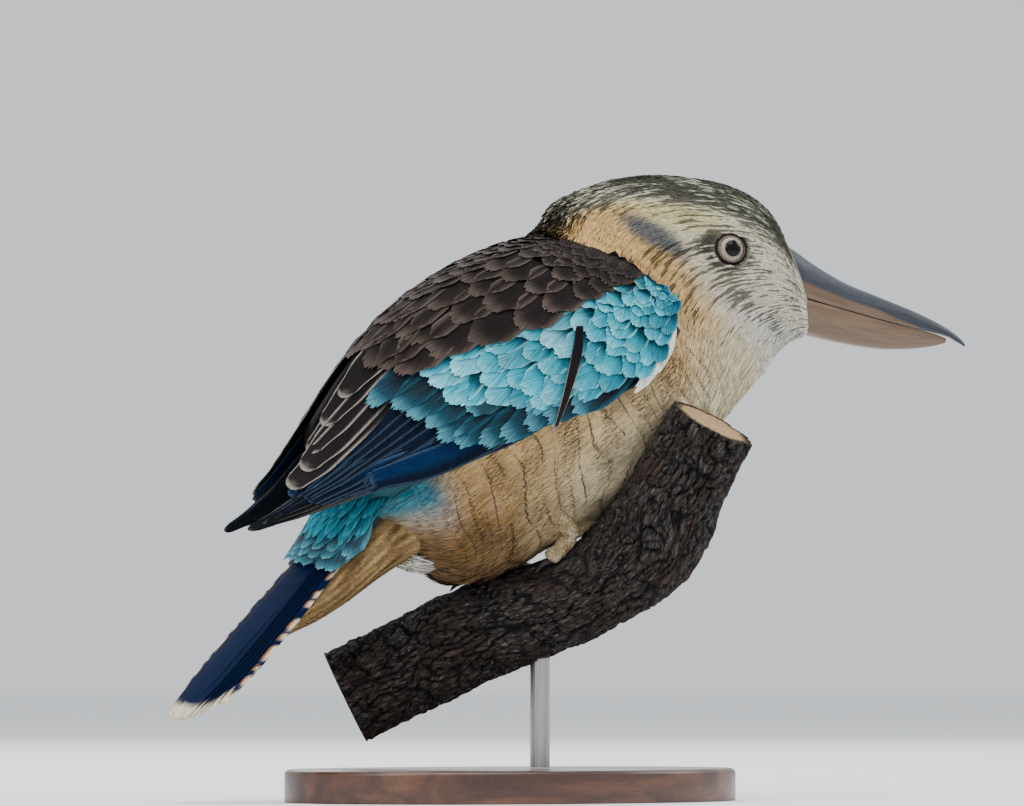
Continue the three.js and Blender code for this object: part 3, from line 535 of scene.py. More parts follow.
def coat_colour(points, station, angle):
    """The coat's ground colour, from the place along and round the body, or on the head.

    Buff turns ochre under the belly behind and cream in front, with a turquoise rump, a brown mantle, a pale
    crown as wide as its edge allows, and a slate patch over the ear. The underside is painted darker behind
    and greyer in the middle, as painted shade.
    """
    side = np.abs(angle)
    low = side / np.pi
    colour = mixed(BUFF, OCHRE, 0.95 * smooth(low, 0.45, 0.7) * (1 - smooth(station, 2.0, 4.6)))
    # Painted shade: the underside is darker behind.
    colour = colour * (1 - 0.42 * smooth(low, 0.5, 0.75) * (1 - smooth(station, 2.6, 4.8)))[..., None]
    colour = mixed(colour, CREAM, 0.85 * smooth(low, 0.46, 0.78) * smooth(station, 2.8, 5.0))
    # Painted shade: the underside is greyer in the middle.
    under = smooth(low, 0.75, 1) * smooth(station, 3, 4.5) * (1 - smooth(station, 6, 8))
    colour = mixed(colour, GREY, 0.3 * under)
    mantle = (1 - smooth(side, 1.0, 1.25)) * smooth(station, 3.4, 4.2) * (1 - smooth(station, 6.3, 6.8))
    rump = (1 - smooth(side, 1.65, 1.95)) * (1 - smooth(station, 1.6, 2.4))
    rump = np.maximum(rump, (1 - smooth(side, 0.9, 1.2)) * (1 - smooth(station, 4.0, 4.6)))
    verge = blot(side, 1.88, 0.16) * (1 - smooth(station, 1.6, 2.4)) * smooth(station, 0.2, 0.8)
    colour = mixed(mixed(colour, GREY, 0.6 * verge), mixed(TEAL, TURQUOISE, 0.4), rump)
    colour = mixed(colour, CHOCOLATE, mantle)
    place = head_place(points)
    ahead, up = place[..., 0], place[..., 2]
    head = smooth(station, 8.2, 9.8)
    edge = np.interp(station, CROWN_STATIONS, CROWN_ANGLES)
    face = mixed(CREAM, WHITE, 0.45 * smooth(ahead, -30, 0))
    behind = smooth(-ahead, 14, 30) * smooth(side, edge + 0.25, edge + 0.6) * smooth(-station, -9.6, -8.6)
    face = mixed(face, BUFF, 0.9 * behind)
    face = mixed(face, BROW, 0.7 * blot(side, edge + 0.24, 0.2) * smooth(-ahead, -2, 14))
    face = mixed(face, WHITE, 0.85 * smooth(-up, 16, 27))
    colour = mixed(colour, face, head)
    crown = (1 - smooth(side, edge - 0.1, edge + 0.15)) * smooth(station, 6.2, 7.2)
    colour = mixed(colour, CROWN_PALE, 0.9 * crown)
    ahead, up = ahead - EAR_PLACE[0], up - EAR_PLACE[1]
    along = ahead * EAR_SLANT[0] - up * EAR_SLANT[1]
    over = ahead * EAR_SLANT[1] + up * EAR_SLANT[0]
    ear = blot(along, 0, EAR_HALF[0]) * blot(over, 0, EAR_HALF[1])
    return mixed(colour, SLATE, 0.88 * smooth(ear, 0.25, 0.75))


def dark_share(points, station, angle):
    """How much of the coat is dark: most of the nape, half the crown, less behind and below the eye."""
    place = head_place(points)
    ahead, up = place[..., 0], place[..., 2]
    side = np.abs(angle)
    edge = np.interp(station, CROWN_STATIONS, CROWN_ANGLES)
    crown = (1 - smooth(side, edge - 0.2, edge + 0.3)) * smooth(station, 6.2, 7.0)
    nape = 0.24 * (1 - smooth(station, 8.4, 9.6)) + 0.14 * (1 - smooth(side, 0.1, 0.5))
    rear = blot(up - 0.5 - 0.27 * ahead, 0, 4.0) * smooth(-ahead, 3, 9) * (1 - smooth(-ahead, 34, 50))
    cheek = blot(side, 1.75, 0.42) * smooth(station, 7.6, 8.6) * (1 - smooth(station, 10.6, 11.6))
    ring = blot(eye_distance(points), 7.5, 2.4) * (0.8 + 1.0 * smooth(-ahead, 3, 8))
    brow = blot(side, edge + 0.3, 0.2) * smooth(-ahead, -6, 10)
    share = (0.53 + nape) * crown + 0.4 * rear + 0.28 * cheek + 0.45 * ring
    share = share + 0.26 * smooth(station, 8.8, 10.2) - 0.24 * brow
    return np.clip(share, 0, 0.92) * (1 - 0.9 * smooth(-up, 22, 32)) * smooth(station, 6.1, 7.2)


def unwrap(station, angle, last):
    """The place on the bake map: along the surface, and once round it from the belly, inside a margin."""
    shares = np.stack([np.clip(station / last, 0, 1), (angle / (2 * np.pi) + 0.5) % 1], -1)
    return BAKE_MARGIN + (1 - 2 * BAKE_MARGIN) * shares


def ring_grid(rows, last, columns):
    """A grid of stations from 0 to the last, and angles once round from the belly."""
    angles = np.linspace(-np.pi, np.pi, columns, endpoint=False)
    return np.meshgrid(np.linspace(0, last, rows), angles, indexing="ij")


SKIN_ROWS, SKIN_COLUMNS = 210, 150
station, angle = ring_grid(SKIN_ROWS, HEAD_STATION, SKIN_COLUMNS)
body_skin = body(station, angle, -COAT_DEPTH)
normal = outward(body, station, angle)
dent = 3.2 * (1 - smooth(eye_distance(body_skin), 3.5, 8.5)) * (np.abs(head_place(body_skin)[..., 1]) > 8)
body_skin = body_skin - normal * dent[..., None]


def merged(grids):
    """Several closed grids as one mesh: its points and faces."""
    points, faces, start = [], [], 0
    for grid in grids:
        flat, quads, caps = closed(grid, start)
        points.append(flat)
        faces += [quads, caps]
        start += len(flat)
    return np.concatenate(points), faces


UNDER_TAIL = np.array(
    [
        (-62, 118, -39, 99, 18),
        (-71, 109, -50, 96, 18),
        (-81, 98, -62, 89, 17),
        (-91, 87, -75, 79.8, 14),
        (-100, 77, -87, 72.5, 9),
        (-106, 70, -98, 67.5, 4.5),
        (-113, 62.6, -108, 61, 1.5),
    ],
    float,
)
SHANKS = {
    "right": np.array([(-6, -23, 134, 9.6), (3, -24.5, 122, 7.2), (8.5, -24.4, 114.5, 4.2)]),
    "left": np.array([(-14, 12.9, 121, 9.6), (-5, 13.7, 109, 7.2), (-1.5, 10.6, 104.5, 4.2)]),
}


def tube(stops, count, sides):
    """A round limb through stops of a centre and radius: a grid of rings square to its line."""
    share = np.linspace(0, len(stops) - 1, count)
    spot = spline(stops, share)
    along = unit(spline(stops, share + 0.01)[:, :3] - spline(stops, share - 0.01)[:, :3])
    side = unit(np.cross(along, (0.31, 0.12, 1)))
    other = np.cross(along, side)
    turn_at = once_round(sides)[:, None]
    ring = side[:, None] * np.cos(turn_at) + other[:, None] * np.sin(turn_at)
    return spot[:, None, :3] + ring * spot[:, None, 3:]


def under_tail(station, angle, swell=0.0):
    """The cone of soft feathers below the tail, as a form of its own."""
    return form(UNDER_TAIL, station, angle, swell)


WRAP = np.array(
    [
        (22, 229, 94, 160, 41),
        (8, 226, 77, 139, 46.5),
        (-7, 222, 55, 121, 50),
        (-28, 212.5, 23, 104, 50.5),
        (-51, 197, -9, 92, 48),
        (-71, 176, -35, 92, 42.5),
        (-88, 151, -66, 101, 34),
        (-102, 130.5, -92, 103, 25.5),
        (-117, 116.3, -110, 103, 18.5),
        (-132, 105.5, -129, 101, 12),
    ],
    float,
)
WING_EDGES = np.array([(62, 96), (38, 103), (24, 101), (16, 99), (10, 94), (8, 92), (8, 90)], float)
CORE_DEPTH = np.array([4.6, 9, 10, 10, 9, 8, 5.2])[:, None]
CORE_TOP, CORE_RIM, CORE_END = 3.0, 4.4, 5.9


def wing_surface(station, angle, swell=0.0):
    """The surface that the right wing's feathers lie on, from the bend of the wing, 0, to its tip."""
    return form(WRAP, station, angle, swell)


def wing_core():
    """The right wing's flesh: a ring at each station, out along the surface and back below it.

    It lies between the wing's edges, drawn in a little, and is deepest half way across.
    """
    station = np.linspace(0.3, CORE_END, 40)
    edge = np.radians(spline(WING_EDGES, station) + (3, -4))
    across = np.linspace(0, 1, 16)
    angle = edge[:, :1] + (edge[:, 1:] - edge[:, :1]) * across
    at = np.broadcast_to(station[:, None], angle.shape)
    skin = wing_surface(at, angle)
    up = -outward(wing_surface, at, angle)
    bulge = np.sqrt(4 * across * (1 - across))
    depth = CORE_RIM + (spline(CORE_DEPTH, station) - CORE_RIM) * bulge
    ring = np.concatenate([skin - CORE_TOP * up, (skin - depth[..., None] * up)[:, ::-1]], 1)
    return ring[:, ::-1]


TAIL_ROOT = np.array([-74, 1.2, 110.5])
TAIL_SLOPE, TAIL_ROLL = math.radians(47.5), math.radians(8)
TAIL_HALF, TAIL_CAMBER = 22.75, 0.006
RUMP_FROM, RUMP_TO = -14, 36


def tail_surface(along, out, height=0.0):
    """The tail's upper side: straight along its slope, arched across by a square, rolled to the right."""
    along, out, height = np.broadcast_arrays(*(np.asarray(v, float) for v in (along, out, height)))
    back = np.array([-math.cos(TAIL_SLOPE), 0, -math.sin(TAIL_SLOPE)])
    normal = np.array([-math.sin(TAIL_SLOPE), 0, math.cos(TAIL_SLOPE)])
    across = np.array([0, -math.cos(TAIL_ROLL), 0]) - normal * math.sin(TAIL_ROLL)
    upward = normal * math.cos(TAIL_ROLL) + np.array([0, -math.sin(TAIL_ROLL), 0])
    lift = height - TAIL_CAMBER * out**2
    return TAIL_ROOT + along[..., None] * back + out[..., None] * across + lift[..., None] * upward


def rump_height(along):
    """How high the flesh over the tail's root stands above the tail's surface, sinking in an S curve."""
    return 11.5 - 10.8 * smooth(along, RUMP_FROM, RUMP_TO)


def rump_core():
    """The flesh round the tail's root: a flattening oval at each distance along the tail."""
    along = np.linspace(RUMP_FROM, RUMP_TO - 14, 24)[:, None]
    turn_at = once_round(32)
    half = TAIL_HALF * (0.82 + 0.08 * (along - RUMP_FROM) / 50) - 1.5
    thick = np.clip(rump_height(along) - 0.4, 0.4, None)
    return tail_surface(along, half * np.cos(turn_at), thick * np.sin(turn_at) - 1)


dark = 0.7 * dark_share(body_skin, station, angle)
dark = np.maximum(dark, 1 - smooth(eye_distance(body_skin), 6.6, 7.4))
body_tint = mixed(coat_colour(body_skin, station, angle), BLACKISH, dark)
core = wing_core()
grids = [
    (body_skin, body_tint, unwrap(station, angle, HEAD_STATION)),
    (under_tail(*ring_grid(40, len(UNDER_TAIL) - 1, 48), -1.2)[::-1], OCHRE, None),
    *((tube(stops, 16, 24), BUFF, None) for stops in SHANKS.values()),
    # The rump core is teal at half strength: painted shade under the tail coverts.
    (rump_core()[:, ::-1], TEAL * 0.5, None),
    (core, BLACKISH, None),
    ((core * (1, -1, 1))[:, ::-1], BLACKISH, None),
]
skin_tints, skin_bake = [], []
for points, tints, bake in grids:
    tints = np.broadcast_to(tints, points.shape)
    skin_tints.append(np.concatenate([tints.reshape(-1, 3), tints[0, :1], tints[-1, :1]]))
    skin_bake.append(np.full((points.size // 3 + 2, 2), 0.5))
    if bake is not None:
        skin_bake[-1][:-2] = bake.reshape(-1, 2)
skin_points, skin_faces = merged([points for points, _, _ in grids])
skin_finish, tree, shader = finish("skin", Roughness=0.9)
# The tint is mixed towards dark brown by a fine noise: painted shade on the skin under the coat, between the
# tufts.
down = noise(tree, object_place(tree), 1400.0, 3.0)
feed(shader, Base_Color=mix(tree, down, attribute(tree, "tint", "Color"), "2a221d"))
skin = build(
    "skin",
    skin_points,
    skin_faces,
    skin_finish,
    bake=np.concatenate(skin_bake),
    tints=np.concatenate(skin_tints),
)
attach(skin, "root")
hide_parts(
    "torso", "neck", "head", "leg_right", "leg_left", "tail_coverts_under", "wing_right", "wing_left"
)

# Wings
# Every feather is a grid of points over a surface, from a sunk root to a free tip, with barbs off its shaft.
# On a wing they lie in tiers: coverts, scapulars, tertials, secondaries and primaries. Rows are carried from
# one line of tips to the next, and the left wing mirrors the right one with draws of its own.
barbs = bpy.data.node_groups.new("barbs", "ShaderNodeTree")
barbs.interface.new_socket("Lay", in_out="INPUT", socket_type="NodeSocketVector")
barbs.interface.new_socket("Pitch", in_out="INPUT", socket_type="NodeSocketFloat")
barbs.interface.new_socket("Fan", in_out="INPUT", socket_type="NodeSocketFloat")
barbs.interface.new_socket("Streak", in_out="OUTPUT", socket_type="NodeSocketFloat")
given = barbs.nodes.new("NodeGroupInput").outputs
out, along, chance = add(barbs, "ShaderNodeSeparateXYZ", {0: given["Lay"]}).outputs
fanned = reckon(barbs, "MULTIPLY", reckon(barbs, "ABSOLUTE", out), given["Fan"])
pitched = reckon(barbs, "SUBTRACT", reckon(barbs, "MULTIPLY", along, given["Pitch"]), fanned)
steps = {0: pitched, 1: reckon(barbs, "MULTIPLY", out, 0.3), 2: reckon(barbs, "MULTIPLY", chance, 37.0)}
streak = noise(barbs, add(barbs, "ShaderNodeCombineXYZ", steps).outputs[0], 1.0, 1.5)
barbs.links.new(spread(barbs, streak, 0.3, 0.7), barbs.nodes.new("NodeGroupOutput").inputs["Streak"])


def feather_finish(name, pitch, fan, depth, raised, marks=False, **sockets):
    """Feathers: the tint of each point, lighter and darker from barb to barb, and with marks, dark bars.

    Barbs change with the way along by the pitch and with the way out by the fan, both for each millimetre,
    and stand out by the raised height in metres.
    """
    made, tree, shader = finish(name, **sockets)
    tint = attribute(tree, "tint", "Color")
    lay = attribute(tree, "lay", "Vector")
    given = {"Lay": lay, "Pitch": pitch, "Fan": fan}
    streak = add(tree, "ShaderNodeGroup", given, node_tree=barbs).outputs["Streak"]
    gain = spread(tree, streak, 0.0, 1.0, 1 - depth, 1 + depth)
    colour = add(tree, "ShaderNodeVectorMath", {0: tint, 3: gain}, operation="SCALE").outputs[0]
    if marks:
        phase, strength, _ = add(tree, "ShaderNodeSeparateXYZ", {0: attribute(tree, "bar", "Vector")}).outputs
        stops = [(0.0, "000000"), (0.4, "000000"), (0.46, "ffffff"), (0.5, "ffffff"), (0.57, "000000")]
        line = ramp(tree, reckon(tree, "FRACT", phase), stops)
        colour = mix(tree, reckon(tree, "MULTIPLY", line, strength), colour, "2a1d15")
    feed(shader, Base_Color=colour, Normal=relief(tree, streak, 0.5, raised))
    return made


def vanes(
    surface, roots, tips, widths, heights, rows, columns, draw,
    up=1, tilt=0.0, ragged=0.0, blunt=0.8, bend=60, point=0.0,
):
    """Feathers over a surface: their points, shares along, shares across, and the lay of their barbs.

    A feather's line goes straight from root to tip in the surface's two numbers. Its half width grows to the
    middle, each column ends a little short by how round the tip is, and it arches across by its bend. It
    leaves the surface through three heights, at its root, at three tenths and at its tip.
    """
    count = len(roots)
    share = np.linspace(0, 1, rows)
    edge = np.linspace(-1, 1, columns)
    lengths = np.linalg.norm(surface(*tips.T) - surface(*roots.T), axis=-1)
    short = blunt * (widths / 2 / lengths)[:, None] * (1 - np.sqrt(1 - 0.97 * edge**2))
    short = np.clip(short, 0, 0.5) + ragged * draw.random((count, columns))
    along = share[None, :, None] * (1 - short[:, None, :] * share[None, :, None] ** 2)
    spot = roots[:, None, None] + (tips - roots)[:, None, None] * along[..., None]
    line = roots[:, None] + (tips - roots)[:, None] * share[None, :, None]
    step = (tips - roots)[:, None] * 0.02
    centre = surface(spot[..., 0], spot[..., 1])
    normal = up * outward(surface, line[..., 0], line[..., 1])
    ahead = unit(surface(*np.moveaxis(line + step, -1, 0)) - surface(*np.moveaxis(line - step, -1, 0)))
    across = unit(np.cross(normal, ahead))
    swell = 0.5 + 0.5 * np.sin(np.pi / 2 * np.clip(share / 0.55, 0, 1))
    swell = swell * (1 - 0.3 * smooth(share, 0.75, 1)) * (1 - point * smooth(share, 0.35, 1))
    out = edge * (widths[:, None, None] / 2) * swell[None, :, None]
    root, rise, tip = np.broadcast_to(np.asarray(heights, float), (count, 3)).T[..., None]
    lift = root + (rise - root) * np.minimum(share / 0.3, 1)
    lift = lift + (tip - rise) * np.clip((share - 0.3) / 0.7, 0, 1)
    slope = tilt * np.sign(across[..., 2:])
    raised = lift[..., None] - slope * out - out**2 / (2 * bend)
    points = centre + across[:, :, None] * out[..., None] + normal[:, :, None] * raised[..., None]
    ahead = along * lengths[:, None, None]
    lay = np.stack(np.broadcast_arrays(out, ahead, draw.random(count)[:, None, None]), -1)
    return points, along, np.broadcast_to(edge, points.shape[:3]), lay


def sheets(count, rows, columns, flip=False):
    """The quads of so many grids of points, one after the other."""
    quads = grid_faces(rows, columns)
    quads = quads[:, ::-1] if flip else quads
    return (quads[None] + (np.arange(count) * rows * columns)[:, None, None]).reshape(-1, 4)


def patches(place, along, edge):
    """The place of each feather on the bake map: a patch 0.003 across at its root."""
    return np.clip(place[:, None, None] + np.stack([along * 2 - 1, edge], -1) * 0.0015, 0.001, 0.999)


def joined(parts):
    """Several sets of feathers as one: their points, faces, tints, bake places and lays, each end to end."""
    faces, fields, start = [], [], 0
    for points, quads, *others in parts:
        faces.append(quads + start)
        start += points.size // 3
        full = [np.broadcast_to(field, points.shape[:3] + field.shape[-1:]) for field in (points, *others)]
        fields.append([field.reshape(-1, field.shape[-1]) for field in full])
    points, *others = (np.concatenate(column) for column in zip(*fields))
    return points, [np.concatenate(faces)], *others


def line_of(stops, count, sway, draw):
    """So many places spread along a smooth line through the stops, each swayed a little."""
    share = np.linspace(0, len(stops) - 1, count)
    return spline(np.array(stops, float), share) + draw.normal(size=(count, 2)) * sway


PALE_TURQUOISE = tone("80c6d1")


def fringed(base, root, fringe, along, edge, start, blend, draw, grow=(0.1, 0.6)):
    """A vane's tint: its root's colour, its base colour from where that grows in, and a fringe at the rim."""
    chance = draw.random((len(along), 1, 1))
    rim = np.maximum(along, 0.55 + 0.45 * np.abs(edge) ** 3)
    colour = mixed(mixed(root, base, smooth(along, *grow)), fringe, blend * smooth(rim, start, 1.0))
    return colour * (0.82 + 0.36 * chance)[..., None]


def covert_tint(along, edge, draw, place):
    """Turquoise with paler ends: whiter over the middle, teal at the lower front and dark at the top."""
    chance, kind = draw.random((2, len(along), 1, 1))
    station, degrees = place[:, 0, None, None], place[:, 1, None, None]
    colour = fringed(TURQUOISE, tone("0b3341"), PALE_TURQUOISE, along, edge, 0.74, 0.7, draw, (0.36, 0.74))
    washed = smooth(station, 0.9, 2.0) * blot(degrees, 66, 9) * smooth(chance, 0.3, 0.8)
    colour = mixed(colour, tone("c4e2e8"), 0.28 * washed * smooth(along, 0.4, 0.8))
    deep = smooth(-station, -1.7, -0.6) * smooth(degrees, 70, 84) * smooth(chance, 0.1, 0.5)
    colour = mixed(colour, TEAL, 0.7 * np.maximum(deep, 0.7 * smooth(kind, 0.75, 0.85)))
    front = smooth(-station, -1.35, -0.6) * smooth(-degrees, -71, -62)
    dark = np.maximum(0.85 * front * smooth(chance, 0.1, 0.4), 0.85 * (kind > 0.965))
    return mixed(colour, tone("1d2c33"), dark * smooth(-along, -0.98, -0.82))


def greater_tint(along, edge, draw, place):
    """Blackish blue, with a wide pale turquoise end."""
    base = mixed(tone("14232c"), tone("17191d"), smooth(-place[:, 0, None, None], -4.4, -3.4))
    colour = fringed(base, tone("0a0c10"), tone("1f4f60"), along, edge, 0.6, 0.9, draw)
    return mixed(colour, tone("5796a6"), 0.7 * smooth(along, 0.8, 0.97))


def secondary_tint(along, edge, draw, place):
    """Deep blue on the outer web, blackish on the inner one, with a thin pale rim."""
    colour = mixed(tone("06203f"), tone("090c13"), smooth(edge, 0.0, 0.5) * 0.8)
    colour = colour * (0.85 + 0.3 * draw.random((len(along), 1, 1)))[..., None]
    rim = np.maximum(smooth(np.abs(edge), 0.95, 1), smooth(along, 0.985, 1))
    return mixed(colour, tone("5f7486"), 0.3 * rim)


def tertial_tint(along, edge, draw, place):
    """Dark brown with a whitish rim round the end."""
    colour = fringed(tone("191517"), tone("0d0c0e"), tone("241f20"), along, edge, 0.7, 0.6, draw)
    rim = np.maximum(smooth(along, 0.955, 0.99), smooth(np.abs(edge), 0.86, 0.97) * smooth(along, 0.35, 0.6))
    return mixed(colour, tone("b5aca0"), 0.7 * rim)


def primary_tint(along, edge, draw, place):
    """Blackish, a little blue on the outer web, with a fine pale rim."""
    colour = mixed(tone("131417"), tone("0d1a2a"), smooth(-edge, 0.0, 0.7) * 0.7)
    rim = np.maximum(smooth(np.abs(edge), 0.94, 1), smooth(along, 0.99, 1))
    return mixed(colour, tone("6d6a68"), 0.4 * rim)


def brown_tint(along, edge, draw, place):
    """Chocolate, darker before the end, with a soft paler fringe that is faint near the neck."""
    faint = 0.25 + 0.75 * smooth(place[:, 0, None, None], 0.8, 2.4)
    base = mixed(tone("332c2b"), tone("241d1c"), faint)
    colour = fringed(base, tone("0e0b0b"), tone("64574f"), along, edge, 0.66, 0.55 * faint, draw)
    middle = blot(edge, 0, 0.5) * smooth(along, 0.3, 0.6) * (1 - smooth(along, 0.75, 0.92))
    return mixed(colour, tone("0e0b0b"), 0.7 * middle)


def white_tint(along, edge, draw, place):
    """White down at the bend of the wing."""
    return WHITE


def rows_of(count, low, high, tips, lengths, width, numbers, heights, tint, **more):
    """Tiers whose line of tips goes evenly from one set of stops to the next, as a list of their settings.

    Lengths, widths and numbers of feathers go evenly from first to last too. Roots lie a length before the
    tips, and some degrees to their side that go from low to high along the line.
    """
    lines = np.array(tips, float).reshape(len(tips), -1)
    made = []
    for share in np.linspace(0, 1, count):
        line = spline(lines, np.array(share * (len(tips) - 1))).reshape(-1, 2)
        length, size, number = (ends[0] + (ends[1] - ends[0]) * share for ends in (lengths, width, numbers))
        back = line - np.array([length, 0]) - np.linspace(low, high, len(line))[:, None] * (0, 1)
        settings = dict(roots=back, tips=line, count=round(number), width=size, heights=heights, tint=tint)
        made.append(settings | more)
    return made


WING_TIERS = {
    "primaries": [
        dict(
            roots=[(5, 88), (5, 76), (5, 64)], tips=[(7.7, 91), (8.45, 82), (7.8, 70)], count=6, width=12,
            heights=(-5.6, -5.2, -4.0), tint=primary_tint, rows=40, columns=9, tilt=-0.05, blunt=2.2,
            point=0.45,
        ),
    ],
    "secondaries": [
        dict(
            roots=[(2.6, 90), (3.4, 78), (4.2, 54)], tips=[(6.0, 92), (6.9, 84), (7.3, 52)], count=12,
            width=11, heights=(-4.2, -2.6, -0.8), tint=secondary_tint, rows=40, columns=11, tilt=0.06,
            blunt=0.7,
        ),
        dict(
            roots=[(0.8, 94.5), (1.6, 92.5), (2.8, 91)], tips=[(2.8, 98.6), (3.8, 94.2), (5.3, 96)], count=8,
            width=8.5, heights=(-4.6, -3.2, -2.0), tint=secondary_tint, rows=30, columns=9, tilt=0.06,
            blunt=1.4, point=0.6, sway=(0.02, 0.3),
        ),
    ],
    "tertials": [
        dict(
            roots=[(4.3, 44), (4.0, 32), (3.5, 20)], tips=[(7.25, 44), (6.5, 30), (5.6, 20)], count=5,
            width=16, heights=(-4.4, -1.8, 0.2), tint=tertial_tint, rows=30, columns=13, tilt=-0.07,
        ),
    ],
    "stray": [
        dict(
            roots=[(2.1, 65), (2.1, 65)], tips=[(3.2, 98), (3.2, 98)], count=1, width=4.8,
            heights=(-1.5, 1.3, 1.6), tint=tertial_tint, rows=26, columns=11, blunt=0.5, point=0.5,
        ),
    ],
    "greater_coverts": [
        dict(
            roots=[(1.6, 92), (2.9, 81), (3.9, 46)], tips=[(3.0, 97), (4.6, 87), (5.45, 46)], count=11,
            width=12, heights=(-4, -2.4, 0.1), tint=greater_tint, rows=24, columns=17, tilt=0.06, ragged=0.07,
        ),
    ],
    "lesser_coverts": rows_of(
        9, 6, 1,
        [
            [(0.35, 86), (0.3, 74), (0.55, 65)],
            [(1.35, 94.5), (1.55, 77), (1.9, 60)],
            [(2.3, 95), (2.85, 77), (3.3, 57)],
            [(3.2, 90), (4.2, 77), (4.65, 50)],
        ],
        (0.65, 0.85), (8.5, 12.5), (8, 9), (-3.2, -1.3, -0.4), covert_tint,
        rows=14, columns=17, tilt=0.03, ragged=0.06, blunt=0.8, sway=(0.09, 2.0),
    ),
    "mantle": rows_of(
        4, 5, 2,
        [[(0.65, 60), (0.9, 42), (1.15, 20)], [(1.5, 57), (1.7, 38), (1.9, 14)]],
        (0.85, 1.0), (10, 13), (7, 6), (-3.0, -0.8, 0.0), brown_tint,
        rows=12, columns=15, ragged=0.14, blunt=0.7, sway=(0.08, 2.0),
    ),
    "scapulars": rows_of(
        6, 4, 2,
        [
            [(2.0, 56), (2.1, 36), (2.2, 14)],
            [(3.4, 54), (3.6, 32), (3.5, 12)],
            [(4.9, 42), (5.1, 28), (4.9, 12)],
        ],
        (1.0, 1.25), (14, 20), (5, 4), (-3.0, -0.7, 0.2), brown_tint,
        rows=16, columns=21, tilt=0.02, ragged=0.07, blunt=1.0, bend=110,
    ),
    "wrist_down": [
        dict(
            roots=[(0.2, 87), (0.5, 93), (0.95, 97)], tips=[(0.8, 95), (1.25, 99.8), (1.95, 101.5)], count=9,
            width=4.5, heights=(-3.4, -2.2, -1.4), tint=white_tint, rows=10, columns=9, ragged=0.12,
            sway=(0.02, 0.4),
        ),
    ],
    "middle": rows_of(
        9, 0, 0,
        [
            [(1.25, 12), (1.2, 0), (1.25, -12)],
            [(3.0, 11), (2.95, 0), (3.0, -11)],
            [(4.9, 8), (5.0, 0), (4.9, -8)],
        ],
        (0.8, 1.2), (10, 17), (5, 3), (-3, -0.8, 0.5), brown_tint,
        rows=16, columns=17, ragged=0.06, blunt=1.0,
    ),
}


def wing_feathers(tiers, draw, mirrored):
    """All feathers of some tiers of one wing, mirrored for the left side."""
    parts = []
    for tier in tiers:
        shape = dict(tier)
        roots, tips, count, width, heights, tint = (
            shape.pop(key) for key in ("roots", "tips", "count", "width", "heights", "tint")
        )
        start = line_of(roots, count, 0.0, draw) * (1, np.pi / 180)
        end = line_of(tips, count, shape.pop("sway", (0.045, 1.3)), draw) * (1, np.pi / 180)
        sizes = width * draw.uniform(0.92, 1.08, count)
        points, along, edge, lay = vanes(wing_surface, start, end, sizes, heights, draw=draw, up=-1, **shape)
        quads = sheets(count, *points.shape[1:3], flip=not mirrored)
        bake = patches(unwrap(start[:, 0], start[:, 1], len(WRAP) - 1), along, edge)
        tints = tint(along, edge, draw, end * (1, 180 / np.pi))
        parts.append((points * (1, -1 if mirrored else 1, 1), quads, tints, bake, lay))
    return joined(parts)


def vane_thickness(piece, thickness):
    """Feathers made solid, by a thickness in millimetres under their upper sides."""
    thick = piece.modifiers.new("thickness", "SOLIDIFY")
    thick.thickness, thick.offset = thickness * MM, -1


flight_finish = feather_finish(
    "flight_feather", 1.8, 2.6, 0.35, 0.00005, Roughness=0.68, Specular_IOR_Level=0.045
)
covert_finish = feather_finish(
    "covert_feather", 0.9, 3.2, 0.45, 0.00008, Roughness=0.75, Specular_IOR_Level=0.08
)
FLIGHT_TIERS = ["primaries", "secondaries", "tertials"]
COVERT_TIERS = ["greater_coverts", "lesser_coverts", "mantle", "scapulars", "wrist_down"]
for side, mirrored, flight, coverts in (
    ("right", False, [*FLIGHT_TIERS, "stray"], [*COVERT_TIERS, "middle"]),
    ("left", True, FLIGHT_TIERS, COVERT_TIERS),
):
    draw = np.random.default_rng(11 + mirrored)
    for kind, names, material in (("flight", flight, flight_finish), ("coverts", coverts, covert_finish)):
        tiers = [tier for name in names for tier in WING_TIERS[name]]
        points, faces, tints, bake, lay = wing_feathers(tiers, draw, mirrored)
        piece = build(f"wing_{kind}_{side}", points, faces, material, bake=bake, tints=tints, lay=lay)
        if kind == "flight":
            vane_thickness(piece, 0.25)
        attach(piece, "root")
        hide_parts(f"wing_{side}")

# Tail
# Six pairs of tail feathers lie one under the next from the middle pair on top, under rows of turquoise
# coverts that grow from the rump.
TAIL_PAIRS, TAIL_LENGTH = 6, 105
TAIL_VANES = np.array([20, 18.6, 17.4, 16, 14.8, 13.5])
TAIL_EDGES = np.array([12.4, 13.9, 15.2, 16.6, 18.4, 22.75])
TAIL_SHORTER, TAIL_STEP = 13, 0.34
TAIL_ROWS, TAIL_COLUMNS, COVERT_ROWS, COVERT_COLUMNS = 60, 11, 18, 15


def tail_tint(along, edge, outer):
    """Deep blue with a blackish shaft line, a cream end, and cream and rufous bars on the outermost webs."""
    dark = smooth(np.abs(edge), 0.7, 1) * 0.5 + 0.25 * blot(edge, 0, 0.04)
    colour = mixed(tone("021534"), tone("030816"), dark)
    beat = np.sin(along * 74 + 1.3 * np.sin(along * 31)) + 0.5 * np.sin(edge * 5 + along * 40)
    bars = smooth(beat, -0.3, 0.4)
    barred = mixed(tone("a9713f"), tone("d9cdb8"), smooth(np.abs(edge), 0.6, 0.85))
    web = smooth(np.abs(edge), 0.5, 0.62) * (outer > 4)[:, None, None]
    colour = mixed(colour, barred, web * bars * smooth(along, 0.1, 0.2))
    uneven = 0.012 * np.sin(edge * 9) + 0.01 * np.sin(edge * 23 + outer[:, None, None] * 2)
    return mixed(colour, tone("d8ccb4"), 0.9 * smooth(along + uneven, 0.915, 0.945))


